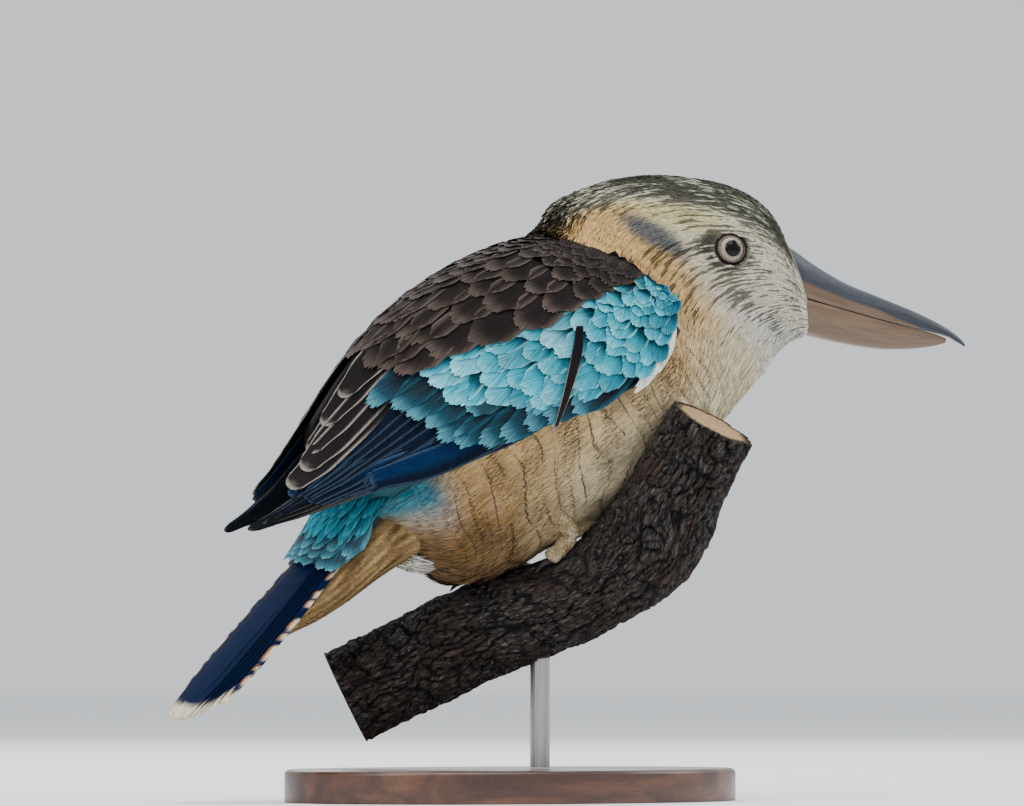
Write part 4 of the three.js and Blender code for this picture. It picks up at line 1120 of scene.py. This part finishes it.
draw = np.random.default_rng(31)
pair = np.repeat(np.arange(TAIL_PAIRS), 2)
half = np.tile([-1.0, 1.0], TAIL_PAIRS)
share = pair / (TAIL_PAIRS - 1)
centre = TAIL_EDGES[pair] - TAIL_VANES[pair] / 2
starts = np.stack([np.full(len(pair), -2.0), half * (centre - 1.5 - 1.5 * share)], -1)
ends = np.stack([TAIL_LENGTH - TAIL_SHORTER * share**2, half * centre], -1)
level = 0.3 - TAIL_STEP * pair - np.where(half < 0, TAIL_STEP / 2, 0)
points, along, edge, lay = vanes(
    tail_surface, starts, ends, TAIL_VANES[pair], np.stack([level] * 3, -1), TAIL_ROWS, TAIL_COLUMNS, draw,
    up=-1, blunt=0.5, bend=200,
)
tail = build(
    "tail_feathers",
    points,
    [sheets(len(pair), TAIL_ROWS, TAIL_COLUMNS, flip=True)],
    flight_finish,
    bake=patches(unwrap(starts[:, 0], starts[:, 1] / TAIL_HALF * np.pi, 120), along, edge),
    tints=tail_tint(along, edge * half[:, None, None], pair),
    lay=lay,
)
vane_thickness(tail, 0.15)
parts = []
for tip in np.linspace(-4, 26, 9):
    long = tip > 15
    count, length, width, ragged, point = (6, 21, 13, 0.05, 0.0) if long else (9, 15, 7.5, 0.08, 0.3)
    out = np.linspace(-19, 20, count) + draw.normal(size=count) * 0.7
    end = np.stack([tip - 3 * (out / 18) ** 2 + draw.normal(size=count) * 1.2, out], -1)
    start = end - np.stack([np.full(count, length), out * 0.15], -1)
    near, far = start[:, 0], end[:, 0]
    lift = np.stack([rump_height(near) - 3.0, rump_height(far - 8) - 0.6, rump_height(far) + 0.3], -1)
    lift = lift - (out[:, None] / 18) ** 2 * rump_height(end[:, :1]) * 0.45
    points, along, edge, lay = vanes(
        tail_surface, start, end, np.full(count, float(width)), lift, COVERT_ROWS, COVERT_COLUMNS, draw,
        up=-1, ragged=ragged, bend=30, point=point,
    )
    chance = draw.random((count, 1, 1))
    if long:
        base = mixed(TEAL, SLATE * 0.5, 0.5 + 0.3 * chance)
    else:
        base = mixed(mixed(TEAL, TURQUOISE, 0.25), TURQUOISE, 0.5 * chance)
    pale = mixed(TURQUOISE, PALE_TURQUOISE, 0.3)
    tints = fringed(base, tone("0a2430"), pale, along, edge, 0.72, 0.6, draw)
    tints = mixed(tints, PALE_TURQUOISE, long * 0.6 * smooth(along, 0.93, 0.99))
    bake = patches(unwrap(near + 30, start[:, 1] / TAIL_HALF * np.pi, 120), along, edge)
    parts.append((points, sheets(count, COVERT_ROWS, COVERT_COLUMNS, flip=True), tints, bake, lay))
points, faces, tints, bake, lay = joined(parts)
tail_coverts = build("tail_coverts", points, faces, covert_finish, bake=bake, tints=tints, lay=lay)
for piece in (tail, tail_coverts):
    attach(piece, "root")
    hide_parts("tail")

# Coat
# Small soft feathers cover the body, neck, head and the cone under the tail. They are scattered evenly by
# area, lie towards the tail, and are smallest on the face. Fine dark bars cross the breast and flanks.
BODY_TUFTS, NECK_TUFTS, HEAD_TUFTS, CONE_TUFTS, VENT_TUFTS = 31000, 15000, 42000, 5000, 700
TUFT_COLUMNS = 3
coat_finish = feather_finish(
    "coat_feather", 0.3, 4.0, 0.34, 0.00015, marks=True, Roughness=0.85, Specular_IOR_Level=0.08
)


def scatter(surface, count, low, high, weight, seed):
    """Evenly spread places on a surface, as dense as its area times a weight.

    A sequence that fills the unit square evenly goes through the running sums of area times weight, first
    along the surface and then round it.
    """
    steps = 160
    a, b = np.meshgrid(*(np.linspace(low[i], high[i], steps + 1) for i in (0, 1)), indexing="ij")
    points = surface(a, b)
    sides = points[1:, :-1] - points[:-1, :-1], points[:-1, 1:] - points[:-1, :-1]
    area = np.linalg.norm(np.cross(*sides), axis=-1)
    share = area * weight((a[:-1, :-1] + a[1:, 1:]) / 2, (b[:-1, :-1] + b[1:, 1:]) / 2) + 1e-12
    number = np.arange(1, count + 1)
    u, v = (0.5 + seed * 0.37 + number * 0.7548776662) % 1, (0.5 + number * 0.5698402910) % 1
    rows = np.concatenate([[0], np.cumsum(share.sum(1))])
    first = np.interp(u, rows / rows[-1], np.arange(steps + 1))
    row = np.minimum(first.astype(int), steps - 1)
    sums = np.cumsum(share, 1)
    sums = np.concatenate([np.zeros((steps, 1)), sums], 1) / sums[:, -1:]
    column = np.clip((sums[row] <= v[:, None]).sum(1) - 1, 0, steps - 1)
    under, over = sums[row, column], sums[row, column + 1]
    second = column + (v - under) / np.maximum(over - under, 1e-12)
    spans = high[0] - low[0], high[1] - low[1]
    return np.stack([low[0] + spans[0] * first / steps, low[1] + spans[1] * second / steps], -1)


def coat(name, surface, place, lengths, widths, heights, tints, draw, step=-1, rows=5, sway=0.07, bars=None):
    """Tufts at places on a surface, each going on along it by its length, with a tint for each row."""
    ahead, girth = (
        np.linalg.norm(surface(*(place + nudge).T) - surface(*(place - nudge).T), axis=-1) / 0.04
        for nudge in ((0.02, 0), (0, 0.02))
    )
    aside = draw.normal(size=len(place)) * sway * lengths / np.maximum(girth, 3)
    tips = place + np.stack([step * lengths / np.maximum(ahead, 3), aside], -1)
    heights = np.asarray(heights) + draw.normal(size=(len(place), 1)) * (0.03, 0.08, 0.2)
    points, along, edge, lay = vanes(
        surface, place, tips, widths, heights, rows, TUFT_COLUMNS, draw,
        ragged=0.16, blunt=0.3, bend=12, point=0.75,
    )
    line = place[:, None] + (tips - place)[:, None] * np.linspace(0, 1, rows)[None, :, None]
    station, angle = line[..., 0], line[..., 1]
    ground = tints(surface(station, angle), station, angle, draw).reshape(len(place), rows, -1, 3)
    # Each tuft is darker at its root: painted shade under the tufts above it. The random factor is the tufts'
    # own tone.
    root_shade_and_tone = (0.84 + 0.18 * along) * draw.uniform(0.78, 1.14, len(place))[:, None, None]
    bar = np.zeros(points.shape)
    if bars is not None:
        bar = bar + bars(station, angle, draw)[:, :, None]
    piece = build(
        name,
        points,
        [sheets(len(place), rows, TUFT_COLUMNS, flip=True)],
        coat_finish,
        bake=patches(unwrap(place[:, 0], place[:, 1], HEAD_STATION), along, edge),
        tints=ground * root_shade_and_tone[..., None],
        lay=lay,
        bar=bar,
    )
    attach(piece, "root")
    return piece


def halves(place):
    """The places on the bird's right and on its left, as masks."""
    return ("right", place[:, 1] >= 0), ("left", place[:, 1] < 0)


def uncovered(station, angle):
    """One where no wing covers the body, thinner at the tail root, and nothing under the wings."""
    back = spline(BODY, station)[..., 0]
    wing = np.interp(-back, -WRAP[:7, 0], np.arange(7))
    low, high = np.moveaxis(spline(WING_EDGES, wing), -1, 0)
    degrees = np.degrees(np.abs(angle))
    low = low - 4 + 20 * smooth(-station, -4.2, -3.4)
    bare = (degrees > low) & (degrees < high - 6) & (station < 6.9)
    return np.where(bare, 0.0, 1.0) * (1 - 0.5 * smooth(-station, -1.2, -0.4))


def coat_lattice(station, angle):
    """About how far along and round the body a place is, in millimetres."""
    return np.stack([station * 25, angle * 40], -1)


def folds(lattice):
    """Broad soft waves in the coat, longer along the body than round it."""
    return waves(lattice * (1, 0.7), 16, 23)


def ground_tint(points, station, angle, draw):
    """The coat's ground colour, with painted light and shade over its soft folds, a little greyer from tuft
    to tuft.
    """
    lattice = coat_lattice(station, angle)
    # Painted light and shade over the coat's soft folds.
    painted_fold_shading = 0.96 + 0.13 * folds(lattice) + 0.08 * waves(lattice, 7, 24)
    greyer = np.clip(0.1 + 0.05 * draw.normal(size=(len(points), 1)), 0, 0.4)
    return mixed(coat_colour(points, station, angle), GREY, greyer) * painted_fold_shading[..., None]


def flank_bars(station, angle, draw):
    """The phase and strength of the dark bars: one in about 6 mm, wandering, on breast and flanks only."""
    lattice = coat_lattice(station, angle)
    phase = station * 4.1 + 0.55 * waves(lattice, 34, 21) + 0.02 * draw.normal(size=(len(station), 1))
    where = smooth(np.abs(angle), 1.5, 1.8) * smooth(station, 1.4, 2.2) * (1 - smooth(station, 7.4, 8.2))
    broken = smooth(waves(lattice * (1, 0.6), 13, 22) + 0.4 * draw.normal(size=(len(station), 1)), -0.9, 0.3)
    return np.stack([phase, where * broken * 0.9, np.zeros_like(phase)], -1)


def head_tint(points, station, angle, draw):
    """The head's ground colour, and dark tufts among the pale ones.

    A tuft is dark where long waves, narrow across the lie, and a random number together pass a limit that
    the dark share of its place sets. It is darkest along its shaft, with paler edges where few are dark.
    """
    colour = coat_colour(points, station, angle)
    share = dark_share(points[:, :1], station[:, :1], angle[:, :1])
    lines = waves(np.stack([angle * 24, station * 0.55], -1)[:, :1], 1.1, 41, 30)
    drift = waves(np.stack([angle * 24, station * 9], -1)[:, :1], 7, 42)
    level = 0.9 * lines + 0.2 * drift + 0.1 * draw.normal(size=(len(points), 1)) + 2 * (share - 0.5)
    dark = smooth(level, -0.12, 0.12) * (share > 0.04)
    tip = 0.5 + 0.5 * smooth(np.linspace(0, 1, points.shape[1]), 0.1, 0.4)
    rim = 0.5 + 0.35 * smooth(share, 0.55, 0.9)
    shaft = np.stack([rim, np.ones_like(rim), rim], -1)
    return mixed(colour[:, :, None], BLACKISH, 0.97 * (dark * tip)[:, :, None] * shaft)


draw = np.random.default_rng(51)
place = scatter(body, BODY_TUFTS, (0.25, -np.pi), (7.3, np.pi), uncovered, 1)
for name, side in halves(place):
    chosen = place[side]
    rise = 0.7 * folds(coat_lattice(*chosen.T))
    heights = np.stack([-COAT_DEPTH - 0.1 + 0 * rise, -0.8 + rise, -0.2 + rise], -1)
    lengths = 10.5 * draw.uniform(0.8, 1.15, len(chosen))
    widths = draw.uniform(1.8, 2.6, len(chosen))
    piece = coat(
        f"coat_body_{name}", body, chosen, lengths, widths, heights, ground_tint, draw,
        rows=4, bars=flank_bars,
    )
place = scatter(body, NECK_TUFTS, (6.5, -np.pi), (9.7, np.pi), lambda station, angle: 1.0, 2)
for name, side in halves(place):
    chosen = place[side]
    station, angle = chosen[:, 0], np.abs(chosen[:, 1])
    billow = smooth(-station, -8.0, -7.0) * smooth(-angle, -2.2, -1.6)
    shag = (1 - smooth(angle, 0.35, 0.6)) * smooth(station, 6.9, 7.6) * (1 - smooth(station, 8.2, 9.4))
    heights = np.stack([-COAT_DEPTH + 0 * billow, -0.7 + 1.2 * billow, -0.1 + 3.2 * billow + 3.2 * shag], -1)
    lengths = (9.5 + 3 * billow + 6 * shag) * draw.uniform(0.75, 1.2, len(chosen))
    widths = draw.uniform(1.0, 1.5, len(chosen))
    piece = coat(
        f"coat_neck_{name}", body, chosen, lengths, widths, heights, head_tint, draw,
        sway=0.05, bars=flank_bars,
    )
place = scatter(
    body, HEAD_TUFTS, (9.2, -np.pi), (13.97, np.pi),
    lambda station, angle: 1 + 0.7 * smooth(station, 11, 13), 3,
)
spot = body(*place.T)
ahead, _, up = head_place(spot).T
from_eye = eye_distance(spot)
crown = 1 - smooth(np.abs(place[:, 1]), 0.8, 1.15)
size = (5.2 + 4.0 * smooth(-ahead, 0, 30)) * (1 - crown) + 11.5 * crown * (1 - 0.35 * smooth(ahead, 8, 26))
size = size * (0.5 + 0.5 * smooth(from_eye, 7, 15)) * draw.uniform(0.8, 1.2, len(place))
crossing = (ahead > 1) & (from_eye < 6.6 + size) & (np.abs(up + EYE_DROP - 1) < 6.4)
kept = ~crossing & (from_eye >= 6.7)
for part, upper, rows in (("crown", crown > 0.5, 5), ("face", crown <= 0.5, 4)):
    for name, side in halves(place):
        chosen = kept & side & upper
        lengths = size[chosen]
        widths, heights = 0.44 + 0.033 * lengths, (-COAT_DEPTH, -0.8, -0.2)
        piece = coat(
            f"coat_{part}_{name}", body, place[chosen], lengths, widths, heights, head_tint, draw,
            rows=rows, sway=0.02,
        )


def cone_tint(points, station, angle, draw):
    """Ochre buff with soft streaks along the cone, darker from tuft to tuft, and painted darker below as
    painted shade.
    """
    chance = draw.random((len(station), 1))
    streak = waves(np.stack([angle * 12, station * 1.5], -1)[:, :1], 2.6, 61)
    low = smooth(np.abs(angle), 1.7, 2.8)
    colour = mixed(OCHRE, BUFF, np.clip(0.42 + 0.3 * streak + 0.3 * (chance - 0.5), 0, 1))
    # The cone is painted darker below: painted shade on its underside.
    return mixed(colour, CREAM, 0.1) * (0.72 + 0.14 * streak - 0.22 * low)[..., None]


def down_tint(points, station, angle, draw):
    """Loose white down before the tail."""
    return np.broadcast_to(WHITE, points.shape)


place = scatter(
    under_tail, CONE_TUFTS, (0, -np.pi), (5.2, np.pi),
    lambda station, angle: smooth(np.abs(angle), 0.7, 1.2) + 0.02, 4,
)
lengths = 19 * draw.uniform(0.75, 1.15, CONE_TUFTS)
widths = draw.uniform(1.2, 1.8, CONE_TUFTS)
piece = coat(
    "coat_under_tail", under_tail, place, lengths, widths, (-1.8, -0.6, 0.2), cone_tint, draw,
    step=1, sway=0.06,
)
place = scatter(
    body, VENT_TUFTS, (0.5, -np.pi), (1.3, np.pi),
    lambda station, angle: smooth(np.abs(angle), 2.5, 2.8) + 0.001, 9,
)
lengths = 11 * draw.uniform(0.7, 1.2, VENT_TUFTS)
widths = draw.uniform(0.8, 1.4, VENT_TUFTS)
piece = coat("coat_vent", body, place, lengths, widths, (-COAT_DEPTH, 0.6, 3.4), down_tint, draw, sway=0.3)

# Eyes
# Each eye is a glossy ball with a slight bulge over the iris, which is pale grey with fine rays. Its lids are
# a dark beaded rim that the ball sits behind.
EYE_OFFSET, EYE_RADIUS = 16.4, 7.2
LID_RADIUS, LID_HALF, LID_THICKNESS = 5.75, 0.75, 0.45
EYE_ROWS, EYE_COLUMNS, LID_COLUMNS, LID_SIDES = 60, 72, 96, 14
eye_finish, tree, shader = finish("eye", Roughness=0.06, Specular_IOR_Level=0.22)
gaze = attribute(tree, "gaze", "Vector")
iris = ramp(tree, noise(tree, gaze, 9.0, 4.0), [(0.3, "746b5b"), (0.5, "978d7a"), (0.7, "b3aa96")])
from_pupil = add(tree, "ShaderNodeSeparateXYZ", {0: gaze}).outputs[2]
pupil_stops = [(0.0, "000000"), (0.45, "000000")]
iris_stops = [(0.475, "ffffff"), (0.66, "ffffff"), (0.72, "3a302c"), (1.0, "120e0c")]
rings = ramp(tree, from_pupil, pupil_stops + iris_stops)
feed(shader, Base_Color=mix(tree, 1.0, iris, rings, blend_type="MULTIPLY"))
lid_finish, tree, shader = finish("lid", Roughness=0.5, Specular_IOR_Level=0.4)
beads = cells(tree, object_place(tree), 1500.0)
spots = reckon(tree, "MULTIPLY_ADD", beads, 0.25, attribute(tree, "across"))
lid_tones = [(0.1, "241815"), (0.28, "7a665a"), (0.5, "5a463c"), (0.62, "150f0e")]
feed(shader, Base_Color=ramp(tree, spots, lid_tones), Normal=relief(tree, beads, 0.6, 0.0003))


def head_point(ahead, out, up):
    """The point that is some way ahead along the mouth line, out and up: head_place the other way round."""
    ahead, out, up = np.broadcast_arrays(*(np.asarray(v, float) for v in (ahead, out, up)))
    x = EYE_CENTRE[0] + ahead * math.cos(BILL_DIP) - up * math.sin(BILL_DIP)
    z = EYE_CENTRE[1] + ahead * math.sin(BILL_DIP) + up * math.cos(BILL_DIP)
    return turned(np.stack([x, out, z], -1), 1)


for name, side in (("right", -1), ("left", 1)):
    centre = head_point(0, side * EYE_OFFSET, -EYE_DROP)
    steps = (1, 0, 0), (0, side, 0), (0, 0, 1)
    front, sideways, top = (unit(head_point(*step) - head_point(0, 0, 0)) for step in steps)
    axis = unit(sideways + front * GAZE_AHEAD + top * GAZE_UP)
    front = unit(front - axis * (front @ axis))
    top = unit(np.cross(front, axis)) * side
    from_front = np.linspace(0.02, np.pi - 0.02, EYE_ROWS)
    polar, turn_at = np.meshgrid(from_front, once_round(EYE_COLUMNS), indexing="ij")
    ring = front * np.cos(turn_at)[..., None] + top * np.sin(turn_at)[..., None]
    radius = EYE_RADIUS - 0.05 + 0.5 * np.exp(-((polar / 0.5) ** 2))
    ball = centre + radius[..., None] * (axis * np.cos(polar)[..., None] + ring * np.sin(polar)[..., None])
    width = np.where(polar < np.pi / 2, np.sin(polar), 1.0)
    field = np.stack([np.cos(turn_at), np.sin(turn_at), width], -1)
    field = np.concatenate([field.reshape(-1, 3), [(0, 0, 0), (0, 0, 1)]])
    flat, *faces = closed(ball)
    faces = [group[:, ::-side] for group in faces]
    eye = build(f"eyeball_{name}", flat, faces, eye_finish, gaze=field)
    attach(eye, "root")
    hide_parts(f"eye_{name}")
    major, minor = np.meshgrid(once_round(LID_COLUMNS), once_round(LID_SIDES), indexing="ij")
    spoke = front * np.cos(major)[..., None] * 1.03 + top * np.sin(major)[..., None] * 0.97
    out = LID_RADIUS + LID_HALF * np.cos(minor)
    height = np.sqrt(EYE_RADIUS**2 - out**2) + 0.25 + LID_THICKNESS * np.sin(minor)
    rim = centre + spoke * out[..., None] + axis * height[..., None]
    faces = grid_faces(LID_COLUMNS + 1, LID_SIDES, around=True)[:, ::side] % (LID_COLUMNS * LID_SIDES)
    lid = build(f"lids_{name}", rim, [faces], lid_finish, across=np.cos(minor) / 2 + 0.5)
    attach(lid, "root")

# Bill
# Both halves follow the solids' sections, finer: how far ahead of the eyes, ridge, mouth line and half width.
# The upper one is slate black with a horn strip along its cutting edge, the lower one is horn, and both are
# faintly striped along their length. The horn tones are painted darker than the pale horn itself, as painted
# shade on the bill's underside.
UPPER_BILL = [
    (12, 9.5, -10.9, 12), (25, 8.2, -10.9, 11.6), (37, 4, -10.8, 10.6), (51, 0.2, -10.9, 9.2),
    (67, -1.8, -10.8, 7.2), (83, -3.8, -10.2, 4.9), (95.5, -6.4, -9.8, 2.7), (101.5, -8.6, -11, 1.4),
    (105, -10.8, -12, 0.5),
]
LOWER_BILL = [
    (14, -24.6, -11.3, 11.6), (28, -24.8, -11.3, 11.2), (43, -24.6, -11.3, 10), (57, -24, -11.3, 8.5),
    (71, -22.2, -11.2, 6.5), (83, -19, -10.7, 4.3), (92, -15.4, -10.4, 2.3), (97, -12.6, -10.8, 0.8),
]
BILL_FULLNESS = 0.8


def bill_half(sections, rows):
    """Half a bill: an arch from the mouth line to the ridge at each section, closed by its flat underside."""
    sections = np.array(sections, float)
    spot = spline(sections, np.linspace(0, len(sections) - 1, rows))
    ahead, ridge, mouth, half = np.moveaxis(spot, -1, 0)[..., None]
    arch = np.linspace(0, np.pi, 41)
    floor = np.linspace(-1, 1, 11)[1:-1]
    out = np.concatenate([np.cos(arch), floor])
    rise = np.concatenate([np.sin(arch) ** BILL_FULLNESS, 0 * floor])
    points = head_point(ahead, half * out, mouth + (ridge - mouth) * rise)
    return points, np.stack(np.broadcast_arrays(ahead, rise, out), -1)


def horn_finish(name, dark, pale, edge):
    """Horn with stripes along it, dark above an edge that is a share of the height, and pale below."""
    made, tree, shader = finish(name, Roughness=0.34, Coat_Weight=0.25, Coat_Roughness=0.25)
    horn = attribute(tree, "horn", "Vector")
    ahead, rise, _ = add(tree, "ShaderNodeSeparateXYZ", {0: horn}).outputs
    stripes = noise(tree, stretched(tree, horn, (0.05, 9.0, 4.0)), 1.4, 5.0)
    wavy = reckon(tree, "MULTIPLY_ADD", stripes, 0.16, rise)
    height = reckon(tree, "ADD", wavy, spread(tree, ahead, 66.0, 96.0, 0.0, 0.5))
    lower, upper = (ramp(tree, stripes, [(0.3, pair[0]), (0.7, pair[1])]) for pair in (pale, dark))
    feed(shader, Base_Color=mix(tree, spread(tree, height, edge, edge + 0.12), lower, upper))
    mottle = noise(tree, object_place(tree), 260.0, 4.0)
    feed(shader, Roughness=spread(tree, mottle, 0.3, 0.7, 0.26, 0.46))
    feed(shader, Normal=relief(tree, stripes, 0.18, 0.0005))
    return made


# Both pale horn tones are darkened: painted shade on the underside of the bill.
horn_dark = horn_finish("horn_dark", ("1a1e26", "2e343e"), ("574231", "6e5741"), 0.4)
horn_pale = horn_finish("horn_pale", ("5a4431", "735a41"), ("5a4431", "735a41"), 0.5)
for name, sections, material, slot, turn in (
    ("upper", UPPER_BILL, horn_dark, "bill_dark", 1),
    ("lower", LOWER_BILL, horn_pale, "bill_pale", -1),
):
    points, field = bill_half(sections, 120)
    flat, *faces = closed(points)
    faces = [group[:, ::turn] for group in faces]
    field = np.concatenate([field.reshape(-1, 3), [field[0].mean(0), field[-1].mean(0)]])
    bill = build(f"bill_{name}_horn", flat, faces, material, horn=field)
    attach(bill, "root")
    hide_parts(f"bill_{name}")

# Feet
# Toes lie round the branch from each palm, ringed with scutes, and end in curved dark claws. A toe is given
# by how far it goes along the branch in stations, how far round it in degrees, and its radius.
FEET = {
    "right": dict(ankle=(2, -25, 120), bend=(9, -25, 113.5), station=4.2, round=26),
    "left": dict(ankle=(-6, 14, 107), bend=(-1, 10, 103), station=2.95, round=-16),
}
TOES = {
    "right": {
        "inner": (0.12, -62, 2.5),
        "middle": (0.36, -66, 2.7),
        "outer": (0.55, -52, 2.5),
        "hind": (-0.6, 14, 3.3),
    },
    "left": {
        "inner": (0.5, -40, 2.5),
        "middle": (0.25, -58, 2.7),
        "outer": (-0.1, -60, 2.5),
        "hind": (-0.62, 6, 2.8),
    },
}
TOE_STOPS = (0.3, 1.05), (0.55, 0.9), (0.8, 1.0), (1.0, 0.8)
NAIL_STOPS = (-0.15, 2.0, 1.5), (0.25, 2.6, 1.35), (0.6, 2.3, 0.95), (0.85, 1.4, 0.55), (1.0, 0.6, 0.12)
TOE_CLEARANCE, PALM_RADIUS, TARSUS_RADIUS = 0.8, 4.0, 3.0
CLAW_LENGTH, TOE_STATION_MM, SCUTE_LENGTH, END_LENGTH = 8, 28, 1.5, 1.4
foot_finish, tree, shader = finish("foot", Roughness=0.6, Specular_IOR_Level=0.35)
place = object_place(tree)
scales = cells(tree, place, 640.0, "DISTANCE_TO_EDGE")
shades = noise(tree, place, 240.0, 4.0)
skin_tones = ramp(tree, shades, [(0.3, "86694c"), (0.45, "b09a70"), (0.6, "cfc09a"), (0.75, "ded3b8")])
seams = spread(tree, scales, 0.02, 0.22, 0.6, 0.0)
feed(shader, Base_Color=mix(tree, seams, skin_tones, "6a5238"), Normal=relief(tree, scales, 1.0, 0.0014))
claw_finish, tree, shader = finish("claw", Roughness=0.35, Specular_IOR_Level=0.3)
horny = noise(tree, object_place(tree), 500.0, 3.0)
feed(shader, Base_Color=ramp(tree, horny, [(0.3, "0f0d0c"), (0.7, "2d2724")]))


def limb_piece(stops, rows, sides, scutes=0.0):
    """A closed limb through stops, its radius swelling at each scute and rounded off at both ends."""
    points = tube(np.array(stops, float), rows, sides)
    centre = points.mean(1, keepdims=True)
    along = np.concatenate([[0], np.cumsum(np.linalg.norm(np.diff(centre[:, 0], axis=0), axis=-1))])
    ripple = scutes * (np.abs(np.sin(np.pi * along / SCUTE_LENGTH)) ** 0.5 - 0.6)
    near = np.minimum(along, along[-1] - along) / END_LENGTH
    dome = np.sqrt(np.clip(1 - (1 - np.clip(near, 0, 1)) ** 2, 0.02, 1))
    return centre + (points - centre) * ((1 + ripple) * dome)[:, None, None]


def gripping(foot, toe, share, height):
    """The point at a share of a toe's way from the palm, a height and the toes' clearance over the bark."""
    turn_at = math.radians(foot["round"] + toe[1] * share)
    return branch_point(foot["station"] + toe[0] * share, turn_at, TOE_CLEARANCE + height)


for side, foot in FEET.items():
    palm = gripping(foot, (0, 0), 0, PALM_RADIUS)
    shank = [(*foot["ankle"], TARSUS_RADIUS), (*foot["bend"], TARSUS_RADIUS), (*palm, PALM_RADIUS)]
    limbs = [limb_piece(shank, 50, 24, 0.06)]
    for name, toe in TOES[side].items():
        along, round_by, radius = toe
        stops = [(*gripping(foot, toe, share, radius * size), radius * size) for share, size in TOE_STOPS]
        limbs.append(limb_piece([(*palm, radius), *stops], 60, 20, 0.08))
        step = CLAW_LENGTH / math.hypot(along * TOE_STATION_MM, round_by * math.pi * BARK_RADIUS / 180)
        nail = [(*gripping(foot, toe, 1 + step * share, height), size) for share, height, size in NAIL_STOPS]
        points, faces = merged([tube(np.array(nail, float), 30, 16)])
        claw = build(f"nail_{side}_{name}", points, faces, claw_finish)
        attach(claw, "root")
        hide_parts(f"claw_{side}_{name}")
    points, faces = merged(limbs)
    toes = build(f"toes_{side}", points, faces, foot_finish)
    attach(toes, "root")
    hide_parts(f"foot_{side}")
